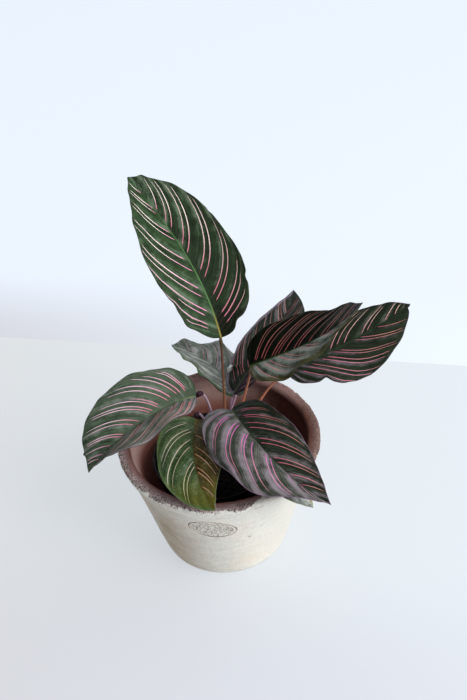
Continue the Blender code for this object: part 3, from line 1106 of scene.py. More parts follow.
    def stalk_path(self) -> tuple[Array, Array, Array]:
        """Lays out the stalk's line, from inside the soil to the blade.

        Returns:
            The points as rows, the run to each, and the radii.
        """
        stalk = self.stalk
        along, _, up = (vector[0] for vector in self.frames(np.array([0.0])))
        last = directions(np.array(stalk.heading), np.array(stalk.pitch))
        base = np.array(self.base)
        if stalk.seat is Seat.BEHIND:
            reach = 2 * STALK_GAP + STALK_TOP_RADIUS * math.sqrt(1 - np.dot(last, along) ** 2)
            end = base - along * reach - up * MIDRIB_BASE_THICKNESS / 2
        else:
            reach = STALK_GAP + STALK_TOP_RADIUS * math.sqrt(1 - np.dot(last, up) ** 2)
            end = base - up * (MIDRIB_BASE_THICKNESS + reach)
        root = np.array([*stalk.root, SOIL_TOP])
        start = root + np.array([0, 0, STALK_STRAIGHT])
        t = 1 - (1 - np.linspace(0, 1, STALK_STEPS)) ** STALK_CROWDING
        path = cubic(start, start + np.array([0, 0, stalk.rise]), end - last * stalk.lead, end, t)
        buried = root - np.array([0, 0, STALK_BURIED])
        path = np.vstack([buried, root, path, end + (base - end) * STALK_INSET])
        run = run_along(path)
        radii = STALK_ROOT_RADIUS + (STALK_TOP_RADIUS - STALK_ROOT_RADIUS) * run / run[-1]
        left = run[-1] - run
        swell = np.where(left < self.joint_length, np.sin(math.pi * left / self.joint_length) ** 2, 0.0)
        collar = COLLAR_SWELL * np.exp(-np.maximum(run - COLLAR_LENGTH, 0) / COLLAR_LENGTH)
        return path, run, STALK_SLIM * radii + self.joint_swell * swell + collar

    def build_stalk(self, sides: int = 16) -> Object:
        """Builds and dresses the stalk.

        Args:
            sides: Sides of the round stalk.

        Returns:
            The piece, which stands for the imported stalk.
        """
        path, run, radii = self.stalk_path()
        tangents = unit(np.gradient(path, axis=0))
        normal = np.cross(tangents[0], [0.0, 1.0, 0.0])
        angles = np.linspace(0, 2 * math.pi, sides, endpoint=False)
        rings = []
        for place, tangent, radius in zip(path, tangents, radii):
            normal = unit(normal - tangent * np.dot(normal, tangent))
            other = np.cross(tangent, normal)
            lumps = 1 + STALK_LUMPS * np.sin(2 * angles + place[2] * 0.15 + self.seed)
            circle = np.cos(angles)[:, None] * normal + np.sin(angles)[:, None] * other
            rings.append(place + circle * (radius * lumps)[:, None])
        points = np.concatenate(rings)
        faces = tube_quads(len(path), sides).tolist()
        faces.append(list(reversed(range(sides))))
        faces.append(list(range(len(points) - sides, len(points))))
        made = add_piece("stalk_" + self.name, points, faces, ("stem_" + self.name,),
                         [self.stalk_finish.material("stalk_" + self.name)])
        carry(made, "stalk_run", np.repeat(run / run[-1], sides))
        carry(made, "stalk_left", np.repeat((run[-1] - run) / self.joint_length, sides))
        return made


TALL_FINISH = BladeFinish(
    left=HalfFinish(
        dark=rgb(20, 33, 17), light=rgb(48, 70, 42), painted_sheen=rgb(98, 118, 94), line_start=rgb(220, 146, 178),
        line=rgb(228, 192, 202), line_tip=rgb(240, 224, 218), painted_sheen_share=(0.35, 0.1), painted_sheen_side=1.0),
    right=HalfFinish(
        dark=rgb(10, 18, 8), light=rgb(32, 49, 27), painted_sheen=rgb(88, 104, 84), line_start=rgb(196, 116, 134),
        line=rgb(184, 144, 146), line_tip=rgb(238, 220, 214), painted_sheen_share=(-0.2, 0.5), painted_sheen_side=1.0,
        base=rgb(15, 19, 8), base_reach=0.2),
    midrib=rgb(74, 112, 62), midrib_base=rgb(142, 126, 58), margin=rgb(62, 66, 50), gloss=0.05,
    line_width=0.34)
LEFT_FINISH = BladeFinish(
    left=HalfFinish(
        dark=rgb(38, 47, 37), light=rgb(90, 98, 86), painted_sheen=rgb(146, 141, 143),
        line_start=rgb(190, 112, 118), line=rgb(186, 134, 130), line_tip=rgb(196, 160, 152),
        painted_sheen_share=(0.45, 0.25), edge=rgb(132, 122, 124), edge_width=2.5),
    right=HalfFinish(
        dark=rgb(34, 46, 32), light=rgb(76, 93, 72), painted_sheen=rgb(126, 131, 124),
        line_start=rgb(212, 124, 150), line=rgb(222, 184, 200), line_tip=rgb(226, 186, 204),
        painted_sheen_share=(0.1, 0.2)),
    midrib=rgb(52, 72, 34), midrib_base=rgb(112, 130, 90), margin=rgb(44, 50, 36), line_width=0.29)
SMALL_FINISH = BladeFinish(
    left=HalfFinish(
        dark=rgb(38, 29, 8), light=rgb(88, 74, 30), painted_sheen=rgb(104, 98, 56), line_start=rgb(208, 150, 110),
        line=rgb(214, 168, 136), line_tip=rgb(204, 162, 124), tip=rgb(100, 92, 30), tip_reach=0.3),
    right=HalfFinish(
        dark=rgb(18, 36, 14), light=rgb(70, 92, 52), painted_sheen=rgb(110, 124, 104),
        line_start=rgb(208, 186, 162), line=rgb(212, 206, 190), line_tip=rgb(190, 180, 134),
        painted_sheen_share=(0.15, 0.0), edge=rgb(74, 96, 52), edge_width=2.5, tip=rgb(88, 90, 32), tip_reach=0.4),
    midrib=rgb(70, 54, 16), midrib_base=rgb(96, 84, 30), margin=rgb(106, 120, 78), mottle=1.3, specks=0.6,
    line_width=0.29)
# The right half's pale mauve-grey greens and its mauve-grey tip are painted sheen.
LARGE_FINISH = BladeFinish(
    left=HalfFinish(
        dark=rgb(0, 3, 0), light=rgb(38, 46, 34), painted_sheen=rgb(106, 98, 102), line_start=rgb(184, 92, 112),
        line=rgb(156, 100, 94), line_tip=rgb(192, 130, 124), painted_sheen_share=(0.0, 0.35)),
    right=HalfFinish(
        dark=rgb(26, 35, 25), light=rgb(75, 78, 70), painted_sheen=rgb(130, 120, 127),
        line_start=rgb(208, 96, 178), line=rgb(190, 116, 134), line_tip=rgb(190, 134, 150),
        painted_sheen_share=(0.45, 0.55), tip=rgb(138, 124, 136), tip_reach=0.10),
    midrib=rgb(34, 44, 28), midrib_base=rgb(60, 72, 44), margin=rgb(120, 96, 118), gloss=0.05,
    line_width=0.27)
UNDER_TIP_FINISH = BladeFinish(
    left=HalfFinish(
        dark=rgb(86, 98, 88), light=rgb(196, 202, 198), painted_sheen=rgb(228, 230, 229),
        line_start=rgb(150, 130, 136), line=rgb(140, 130, 130), line_tip=rgb(140, 130, 130),
        painted_sheen_share=(0.4, 0.5), tip=rgb(150, 146, 84), tip_reach=0.03),
    right=HalfFinish(
        dark=rgb(56, 66, 56), light=rgb(170, 178, 172), painted_sheen=rgb(214, 217, 215),
        line_start=rgb(150, 130, 136), line=rgb(140, 130, 130), line_tip=rgb(140, 130, 130),
        tip=rgb(150, 146, 84), tip_reach=0.03),
    midrib=rgb(90, 96, 80), midrib_base=rgb(80, 90, 70), margin=rgb(150, 152, 124), line_share=0.5)
# This blade's pale grey-greens and faint lines are painted sheen from the bright light behind it.
BACK_LEFT_FINISH = BladeFinish(
    left=HalfFinish(
        dark=rgb(44, 56, 44), light=rgb(118, 128, 118), painted_sheen=rgb(180, 182, 180),
        line_start=rgb(160, 110, 130), line=rgb(150, 112, 124), line_tip=rgb(176, 160, 164),
        painted_sheen_share=(0.35, 0.45), edge=rgb(58, 84, 48), edge_width=3.0),
    right=HalfFinish(
        dark=rgb(42, 52, 40), light=rgb(104, 112, 102), painted_sheen=rgb(168, 168, 168),
        line_start=rgb(196, 130, 160), line=rgb(172, 124, 140), line_tip=rgb(172, 140, 150),
        painted_sheen_share=(0.4, 0.3)),
    midrib=rgb(74, 86, 62), midrib_base=rgb(66, 84, 48), margin=rgb(70, 88, 60), gloss=0.15,
    line_share=0.55)
UPRIGHT_FINISH = BladeFinish(
    left=HalfFinish(
        dark=rgb(7, 13, 7), light=rgb(44, 52, 40), painted_sheen=rgb(124, 116, 120), line_start=rgb(190, 110, 116),
        line=rgb(172, 112, 108), line_tip=rgb(184, 134, 126), painted_sheen_share=(-0.1, 0.25),
        edge=rgb(128, 116, 130), edge_width=3.5),
    right=HalfFinish(
        dark=rgb(16, 20, 13), light=rgb(46, 50, 40), painted_sheen=rgb(100, 94, 96), line_start=rgb(170, 98, 104),
        line=rgb(150, 96, 92), line_tip=rgb(150, 96, 92), base=rgb(40, 14, 34), base_reach=0.5),
    midrib=rgb(52, 66, 38), midrib_base=rgb(92, 112, 72), margin=rgb(70, 76, 62), line_share=0.85,
    painted_highlight=(20.0, 17.6, 4.4))
# The left half's near-black greens are painted shade, and the right half's pale grey-greens are painted
# sheen.
RIGHT_FINISH = BladeFinish(
    left=HalfFinish(
        dark=rgb(1, 3, 0), light=rgb(14, 21, 8), painted_sheen=rgb(82, 82, 76), line_start=rgb(190, 104, 102),
        line=rgb(158, 106, 98), line_tip=rgb(196, 144, 134), painted_sheen_share=(-0.55, 0.4)),
    right=HalfFinish(
        dark=rgb(20, 28, 16), light=rgb(98, 106, 92), painted_sheen=rgb(144, 148, 140),
        line_start=rgb(222, 136, 140), line=rgb(210, 144, 132), line_tip=rgb(182, 128, 108),
        painted_sheen_share=(0.75, 0.6), edge=rgb(66, 64, 32), edge_width=5.0),
    midrib=rgb(48, 70, 32), midrib_base=rgb(56, 74, 32), margin=rgb(76, 70, 48), gloss=0.05,
    line_width=0.26)
FAR_FINISH = BladeFinish(
    left=HalfFinish(
        dark=rgb(11, 17, 9), light=rgb(30, 40, 25), painted_sheen=rgb(90, 92, 84), line_start=rgb(206, 136, 146),
        line=rgb(196, 144, 140), line_tip=rgb(216, 178, 166), painted_sheen_share=(-0.2, 0.2)),
    right=HalfFinish(
        dark=rgb(13, 20, 11), light=rgb(38, 47, 32), painted_sheen=rgb(112, 100, 110),
        line_start=rgb(218, 120, 144), line=rgb(200, 134, 148), line_tip=rgb(204, 140, 126),
        painted_sheen_share=(0.35, -0.2)),
    midrib=rgb(36, 56, 26), midrib_base=rgb(38, 56, 26), margin=rgb(88, 74, 84), gloss=0.06,
    line_width=0.26)

ORANGE_STALK = StalkFinish(lower=rgb(190, 126, 92), upper=rgb(96, 66, 46), joint=rgb(74, 62, 42))
ROSE_STALK = StalkFinish(lower=rgb(190, 72, 50), upper=rgb(182, 120, 92), joint=rgb(150, 104, 92))
LILAC_STALK = StalkFinish(lower=rgb(104, 60, 66), upper=rgb(184, 160, 176), joint=rgb(40, 8, 24),
                          joint_share=1.0)
PALE_STALK = StalkFinish(lower=rgb(160, 116, 146), upper=rgb(176, 138, 166), joint=rgb(164, 132, 150),
                         joint_share=0.6)

HIDDEN = Lines(at=regular_lines(0.33, 0.95), reach=(0.75, 0.95))

LEAVES = (
    Leaf("tall",
         base=(8.0, 7.5, 197.0), heading=(107, 130, 151), pitch=(54, 46, 49), roll=(-1, 10),
         length=136.5, width=(33.5, 41.5), fold=(9, 8), curl=(-17, -3),
         widest=0.51, lobe=(0.01, 0.01), fullness=0.64,
         waves=2, wave=(1.4, 0.9), phase=(-131, -117),
         stalk=Stalk(root=(6.0, 3.0), rise=54, heading=228, pitch=83),
         lines=(Lines((0.35, 0.41, 0.50, 0.545, 0.63, 0.67, 0.745, 0.78, 0.845, 0.865, 0.915, 0.93, 0.965),
                      reach=(1.0, 0.97), short=(0.35, 0.50)),
                Lines((0.385, 0.455, 0.50, 0.585, 0.62, 0.70, 0.73, 0.80, 0.825, 0.87, 0.89, 0.92),
                      reach=(0.58, 0.95))),
         nicks=(((0.175, 0.035, 2.0), (0.30, 0.03, -1.2), (0.43, 0.04, 0.6), (0.62, 0.08, 0.6),
                 (0.75, 0.045, 2.0), (0.84, 0.04, 0.6), (0.915, 0.05, 1.3)),
                ((0.11, 0.028, -2.8), (0.215, 0.035, 0.9), (0.30, 0.016, -1.7), (0.36, 0.04, -0.4),
                 (0.49, 0.05, -1.1), (0.598, 0.01, -0.9), (0.785, 0.035, 0.6), (0.92, 0.024, 1.9))),
         finish=TALL_FINISH, stalk_finish=ORANGE_STALK, seed=1),
    Leaf("left",
         base=(-15.0, 5.0, 144.0), heading=(220, 213, 200), pitch=(26, -11, -46), roll=(-19, 10),
         length=107.0, width=(24.5, 34.0), fold=(29, 44), curl=(-15, 1),
         widest=0.49, lobe=(-0.13, 0.05), fullness=0.42,
         waves=2.5, wave=(4.2, 1.1), phase=(122, 93),
         stalk=Stalk(root=(-1.0, 4.3), rise=41, heading=222, pitch=-45, seat=Seat.BEHIND),
         lines=(Lines((0.415, 0.44, 0.51, 0.535, 0.60, 0.625, 0.69, 0.715, 0.79, 0.81, 0.87, 0.93),
                      reach=(0.72, 0.92)),
                Lines((0.405, 0.43, 0.50, 0.54, 0.60, 0.635, 0.69, 0.705, 0.735, 0.75, 0.805, 0.825,
                       0.87, 0.88, 0.915, 0.945, 0.96), reach=(0.62, 0.93), short=(0.69,))),
         nicks=(((0.84, 0.08, -4.4), (0.95, 0.04, -2.0)),
                ((0.25, 0.04, 1.3), (0.375, 0.02, -0.5), (0.44, 0.03, 0.7), (0.61, 0.03, 0.8),
                 (0.74, 0.04, 0.5), (0.83, 0.05, 1.4), (0.902, 0.008, 1.4))),
         finish=LEFT_FINISH, stalk_finish=LILAC_STALK, seed=2, joint_length=8.5, joint_swell=1.4),
    Leaf("front_small",
         base=(-16.0, -2.5, 127.0), heading=(262, 273, 301), pitch=(19, -7, -11), roll=(-9, 39),
         length=93.5, width=(23.5, 28.0), fold=(13, 11), curl=(-17, -11),
         widest=0.43, lobe=(0.04, 0.04), fullness=0.38,
         waves=2.5, wave=(1.3, 1.9), phase=(-9, -112),
         stalk=Stalk(root=(-3.0, -2.0), rise=44, heading=278, pitch=-40, seat=Seat.BEHIND),
         lines=(Lines((0.64, 0.735, 0.78, 0.845, 0.865, 0.92), reach=(0.9, 0.92), short=(0.64,)),
                Lines((0.43, 0.555, 0.595, 0.675, 0.725, 0.815, 0.84), reach=(0.62, 0.97))),
         finish=SMALL_FINISH, stalk_finish=LILAC_STALK, seed=3, slot=Slot.LEAF_OLIVE,
         joint_length=8.5, joint_swell=1.4),
    Leaf("front_large",
         base=(11.5, -2.0, 133.0), heading=(279, 303, 325), pitch=(31, -11, -9), roll=(5, -24),
         length=122.5, width=(30.5, 38.0), fold=(20, 28), curl=(-12, -68),
         widest=0.49, lobe=(0.15, 0.15), fullness=0.37,
         waves=3, wave=(0.7, 3.0), phase=(-27, -106),
         stalk=Stalk(root=(6.0, -5.0), rise=26, heading=290, pitch=68),
         lines=(Lines((0.43, 0.455, 0.545, 0.57, 0.63, 0.67, 0.74, 0.765, 0.83, 0.85, 0.895, 0.93),
                      reach=(0.5, 0.95)),
                Lines((0.395, 0.50, 0.525, 0.61, 0.635, 0.695, 0.71, 0.745, 0.81, 0.83, 0.89, 0.925),
                      reach=(0.53, 0.95), short=(0.695, 0.89))),
         nicks=(((0.745, 0.02, -0.6), (0.88, 0.04, 0.8)), ((0.925, 0.025, 1.8),)),
         finish=LARGE_FINISH, stalk_finish=PALE_STALK, seed=4),
    Leaf("front_under",
         base=(18.5, -16.0, 114.0), heading=(292, 304, 316), pitch=(8, -6, -18), roll=(-6, -7),
         length=83.0, width=(22.5, 22.5), fold=(13, 15), curl=(-12, -8),
         widest=0.42, lobe=(0.06, 0.06), fullness=0.35,
         waves=4, wave=(0.1, 2.0), phase=(171, 51),
         stalk=Stalk(root=(12.0, -9.0), rise=17, heading=298, pitch=46),
         lines=(HIDDEN, HIDDEN), finish=UNDER_TIP_FINISH, stalk_finish=PALE_STALK, seed=5),
    Leaf("back_left",
         base=(13.5, 33.5, 116.0), heading=(99, 122, 139), pitch=(8, -5, -7), roll=(10, 9),
         length=95.0, width=(25.5, 26.5), fold=(23, 17), curl=(2, -11),
         widest=0.42, lobe=(0.03, 0.08), fullness=0.38,
         waves=3.5, wave=(2.1, 4.0), phase=(-36, 16),
         stalk=Stalk(root=(3.0, 11.0), rise=17, heading=88, pitch=47),
         lines=(HIDDEN, HIDDEN),
         nicks=(((0.38, 0.03, -1.5), (0.535, 0.035, -4.4), (0.78, 0.06, -1.4)),
                ((0.59, 0.03, -1.0), (0.79, 0.04, -2.3), (0.915, 0.04, 4.6))),
         finish=BACK_LEFT_FINISH, stalk_finish=PALE_STALK, seed=6),
    Leaf("back_upright",
         base=(14.5, 26.0, 124.0), heading=(42, 52, 76), pitch=(40, 16, 16), roll=(-20, -16),
         length=111.0, width=(27.0, 28.5), fold=(10, 15), curl=(-12, -13),
         widest=0.44, lobe=(0.04, -0.03), fullness=0.29,
         waves=2.5, wave=(0.4, 2.2), phase=(114, -50),
         stalk=Stalk(root=(9.0, 8.0), rise=26, lead=17, heading=17, pitch=66),
         lines=(Lines((0.415, 0.495, 0.54, 0.57, 0.625, 0.685, 0.765, 0.815, 0.875, 0.895, 0.925),
                      reach=(0.85, 0.97)), HIDDEN),
         nicks=(((0.52, 0.16, 0.8),), ()), crease=(28.4, -0.55, 2.2, 1.3),
         finish=UPRIGHT_FINISH, stalk_finish=PALE_STALK, seed=7, joint_swell=0.3),
    Leaf("right",
         base=(28.5, 16.0, 160.5), heading=(-13, -20, -10), pitch=(29, 38, 58), roll=(26, -11),
         length=111.0, width=(30.5, 23.0), fold=(12, 10), curl=(-2, -26),
         widest=0.35, lobe=(0.05, 0.03), fullness=0.38,
         waves=3, wave=(0.9, 2.7), phase=(-48, -43),
         stalk=Stalk(root=(11.5, 2.0), rise=33, lead=16, heading=283, pitch=72),
         lines=(Lines((0.36, 0.395, 0.47, 0.51, 0.585, 0.61, 0.635, 0.675, 0.73, 0.75, 0.80, 0.85, 0.87,
                       0.92, 0.945), reach=(0.92, 0.97), start=0.02),
                Lines((0.37, 0.50, 0.56, 0.64, 0.685, 0.76, 0.79, 0.86, 0.88),
                      reach=(0.8, 0.6), start=0.03)),
         nicks=(((0.57, 0.05, 0.6), (0.68, 0.025, -0.8), (0.835, 0.07, 3.0)), ()),
         finish=RIGHT_FINISH, stalk_finish=ROSE_STALK, seed=8),
    Leaf("far_right",
         base=(58.0, 25.5, 143.5), heading=(22, 25, 32), pitch=(5, 8, 13), roll=(2, 5),
         length=120.5, width=(30.0, 35.5), fold=(14, 12), curl=(-19, -32),
         widest=0.44, lobe=(0.02, 0.06), fullness=0.31,
         waves=2, wave=(3.2, 4.2), phase=(172, -19),
         stalk=Stalk(root=(15.0, -2.5), rise=25, lead=20, heading=347, pitch=20),
         lines=(Lines((*regular_lines(0.33, 0.68), 0.71, 0.74, 0.775, 0.845, 0.865, 0.925, 0.955),
                      reach=(0.9, 0.95)),
                Lines((0.415, 0.51, 0.56, 0.635, 0.665, 0.715, 0.735, 0.815, 0.835, 0.895),
                      reach=(0.95, 0.95))),
         nicks=(((0.90, 0.06, 2.2),),
                ((0.12, 0.05, 1.6), (0.25, 0.023, -4.6), (0.325, 0.035, 2.0), (0.45, 0.04, -0.7),
                 (0.59, 0.05, 1.1), (0.82, 0.05, -0.7), (0.97, 0.02, -1.4))),
         finish=FAR_FINISH, stalk_finish=ROSE_STALK, seed=9),
)


QUARTERS = (0.25, 0.5, 0.75)  # where a step is divided by four


def smooth_profile(corners: tuple, softness: float, coarse: float, fine: float, fine_above: float) -> Array:
    """Rounds a profile's corners and spaces its points.

    Args:
        corners: Radius and height of each corner.
        softness: Millimetres over which corners are rounded.
        coarse: Spacing of the points.
        fine: Spacing above a certain height.
        fine_above: That height.

    Returns:
        Radius and height of the points, as rows.
    """
    corners = np.array(corners, float)
    run = run_along(corners)
    step = 0.25
    even = np.arange(0, run[-1], step)
    points = np.stack([np.interp(even, run, corners[:, axis]) for axis in (0, 1)], -1)
    reach = int(3 * softness / step)
    weights = np.exp(-0.5 * (np.arange(-reach, reach + 1) * step / softness) ** 2)
    weights /= weights.sum()
    before, after = 2 * points[:1] - points[reach:0:-1], 2 * points[-1:] - points[-2:-reach - 2:-1]
    padded = np.concatenate([before, points, after])
    points = np.stack([np.convolve(padded[:, axis], weights, "valid") for axis in (0, 1)], -1)
    kept, since = [points[0]], 0.0
    for point in points[1:]:
        since += step
        if since >= (fine if point[1] > fine_above else coarse):
            kept.append(point)
            since = 0.0
    kept.append(corners[-1])
    kept[0] = corners[0]
    return np.array(kept)


def revolve(profile: Array, sides: int, closer: Pair = (0.0, 0.0)) -> tuple[Array, list, Array]:
    """Turns a profile round the Z axis. Its two ends lie on the axis.

    Args:
        profile: Radius and height of its points, as rows.
        sides: Steps round the axis.
        closer: Heading in degrees where the steps are four times closer, and how far on each side.

    Returns:
        Vertices, faces, and each vertex's number along the profile.
    """
    ring = profile[1:-1]
    angles = np.linspace(0, 2 * math.pi, sides, endpoint=False)
    away = np.abs(wrapped(angles - math.radians(closer[0])))
    extra = angles[away < math.radians(closer[1])]
    added = [extra + 2 * math.pi / sides * part for part in QUARTERS]
    angles = np.sort(np.concatenate([angles, *added]))
    sides = len(angles)
    x = ring[:, :1] * np.cos(angles)
    y = ring[:, :1] * np.sin(angles)
    z = np.repeat(ring[:, 1:], sides, 1)
    points = np.stack([x, y, z], -1).reshape(-1, 3)
    faces = tube_quads(len(ring), sides).tolist()
    first, last = len(points), len(points) + 1
    points = np.vstack([points, [0, 0, profile[0, 1]], [0, 0, profile[-1, 1]]])
    faces += [[(a + 1) % sides, a, first] for a in range(sides)]
    faces += [[first - sides + a, first - sides + (a + 1) % sides, last] for a in range(sides)]
    number = np.concatenate([np.repeat(np.arange(len(ring)), sides), [0, len(ring) - 1]])
    return points, faces, number


@dataclass(frozen=True)
class Limewash:
    """Limewashed terracotta, bare and rough on the lip and smooth inside."""
    lime: Colour = rgb(241, 238, 228)
    lime_grey_and_shade: Colour = rgb(211, 208, 199)
    lime_warm: Colour = rgb(238, 222, 203)
    stain_and_shade: Colour = rgb(159, 135, 100)
    clay: Colour = rgb(184, 122, 92)
    pit_colour: Colour = rgb(96, 74, 58)
    lip: Colour = rgb(154, 129, 127)
    lip_brown_and_shade: Colour = rgb(74, 45, 34)
    lip_painted_light: Colour = rgb(206, 166, 156)
    lip_inner: Colour = rgb(116, 72, 64)
    lip_pits: Colour = rgb(48, 38, 36)
    lip_flecks: Colour = rgb(210, 204, 198)
    lip_blotch: Colour = rgb(160, 114, 98)
    inside: Colour = rgb(236, 196, 186)
    inside_low_shade: Colour = rgb(150, 86, 72)
    inside_blotch_and_shade: Colour = rgb(92, 52, 42)

    def material(self) -> Material:
        """Builds the pot's material.

        Returns:
            The material.
        """
        skin = ClaySkin("limewashed_terracotta", self)
        clay = skin.mix(skin.step(skin.run, -14.0, -10.5, 1.0, 0.0), skin.lip(), skin.inside())
        colour = skin.mix(skin.lime_share(), clay, skin.lime())
        skin.bump(skin.dust * 0.35 + skin.pores, 0.45, 0.5)
        return skin.finish(colour, skin.step(skin.pores, 0.3, 0.7, 0.75, 0.95), specular_ior_level=0.3)


class ClaySkin(Surface):
    """Skin of the terracotta pot, with the places and the noise that its colours follow."""

    def __init__(self, name: str, looks: Limewash) -> None:
        """Reads what the pot's mesh carries.

        Args:
            name: The material's name.
            looks: The pot's colours.
        """
        super().__init__(name)
        self.looks = looks
        place = self.place()
        self.x, self.y, self.z = self.parts(place)
        self.run = self.attribute("lip_run")
        self.blotch = self.grain(place, 22.0, 4.0, 0.6)
        self.broad = self.grain(place, 60.0, 4.0, 0.65)
        self.pores = self.grain(place, 420.0, 3.0, 0.7)
        self.dust = self.grain(place, 1000.0, 2.0, 0.7)
        self.brushed = self.grain(self.vector(self.x * 0.12, self.y * 0.12, self.z), 520.0, 3.0, 0.6)
        self.right = (self.broad - 0.5) * 0.03 + self.x
        self.rough_part = self.step(self.run, -9.0, -3.0)

    def lime(self) -> Signal:
        """The limewash, warm in patches, greyer to the right as painted shade, stained and darkened by
        painted shade on one side, worn and stamped.

        Returns:
            The colour.
        """
        looks = self.looks
        groove, stamped, soiled_and_shaded = self.parts(self.attribute("marks", "Vector"))
        mottle = self.pores * 0.7 + self.brushed * 0.6
        lime = self.mix(self.step(mottle, 0.50, 0.85, 0.0, 0.55), looks.lime, looks.lime_grey_and_shade)
        warm = self.step(self.blotch, 0.45, 0.68) * self.step(self.z, 0.0, 0.05, 0.9, 0.25)
        lime = self.mix(warm, lime, looks.lime_warm)
        # painted shade: the limewash greyer towards the right
        lime = self.mix(self.step(self.x, 0.015, 0.055, 0.0, 0.85), lime, looks.lime_grey_and_shade)
        # stain and painted shade on the left-front side
        lime = self.mix(soiled_and_shaded * self.step(self.broad, 0.25, 0.75, 0.55, 1.0), lime, looks.stain_and_shade)
        worn = self.step(self.dust * 0.6 + self.broad, 1.0, 1.12, 0.0, 0.6)
        cracked = self.step(self.run, 3.0, 16.0, 1.0, 0.0) * self.step(self.brushed, 0.58, 0.66, 0.0, 0.55)
        lime = self.mix(self.larger(worn, cracked), lime, looks.stain_and_shade)
        traced = self.step(groove, 0.15, 0.8) * self.step(self.broad, 0.35, 0.6, 0.35, 0.95)
        clay = self.mix(self.step(self.broad, 0.40, 0.60), looks.clay, looks.pit_colour)
        lime = self.mix(traced, lime, clay)
        stipple = self.step(self.dust, 0.50, 0.60, 0.0, 0.7)
        stipple = self.larger(stipple, self.step(self.pores, 0.54, 0.62, 0.0, 0.65))
        return self.mix(stamped * stipple, lime, looks.pit_colour)

    def lip(self) -> Signal:
        """The bare lip: browner to the right, partly its own colour and partly painted shade, paler at the
        back as painted light, dark inwards and pitted outwards.

        Returns:
            The colour.
        """
        looks = self.looks
        # browner and darker to the right: the clay's own colour with painted shade
        brown = self.step(self.right, 0.01, 0.07) * (self.rough_part * -0.25 + 1.0)
        lip = self.mix(brown, looks.lip, looks.lip_brown_and_shade)
        # painted light: the lip paler at the back, where the leaves shade it
        back = self.step(self.y, 0.012, 0.05)
        lip = self.mix(back, lip, looks.lip_painted_light)
        inner = self.step(self.run, -10.5, -5.0, 1.0, 0.0) * (1.0 - back)
        lip = self.mix(inner * self.step(self.right, 0.01, 0.06, 1.0, 0.35), lip, looks.lip_inner)
        lip = self.mix(self.step(self.blotch, 0.40, 0.65, 0.0, 0.25), lip, looks.lip_blotch)
        pits = self.step(self.broad * 0.3 + self.pores, 0.62, 0.72, 0.0, 0.85)
        pitted = self.rough_part * self.step(self.x, 0.0, 0.05, 0.85, 0.45)
        lip = self.mix(pits * pitted, lip, looks.lip_pits)
        flecks = self.step(self.rough_part * 0.10 + self.dust, 0.60, 0.70, 0.0, 0.8)
        flecked = self.rough_part * self.step(self.x, 0.0, 0.06, 1.0, 0.2)
        return self.mix(flecks * flecked, lip, looks.lip_flecks)

    def inside(self) -> Signal:
        """The inner wall: pale pink above, partly its own colour and partly painted light, with painted
        shade darker below and to the right, and faint darker blotches.

        Returns:
            The colour.
        """
        looks = self.looks
        inside = self.mix(self.step(self.broad, 0.35, 0.7, 0.0, 0.15), looks.inside, looks.inside_blotch_and_shade)
        # painted shade: darker deeper down the inner wall
        inside = self.mix(self.step(self.z, 0.096, 0.078, 0.0, 0.9), inside, looks.inside_low_shade)
        # painted shade: darker on the right of the inner wall
        return self.mix(self.step(self.right, 0.005, 0.055), inside, looks.inside_blotch_and_shade)

    def lime_share(self) -> Signal:
        """Where the limewash lies: outside up to a ragged line, and over the lip at the front right.

        Returns:
            The share, from 0 to 1.
        """
        ragged = self.broad * 10.0 + self.pores * 7.0
        starts = ragged - 9.2 + self.step(self.x, 0.03, 0.07, 0.0, 3.0)
        over_lip = self.step(self.x, 0.012, 0.036, 0.0, 8.0) * self.step(self.x, 0.068, 0.052)
        over_lip = over_lip * self.step(self.y, -0.03, -0.05)
        return self.step(self.run + over_lip - starts, -0.4, 0.4)


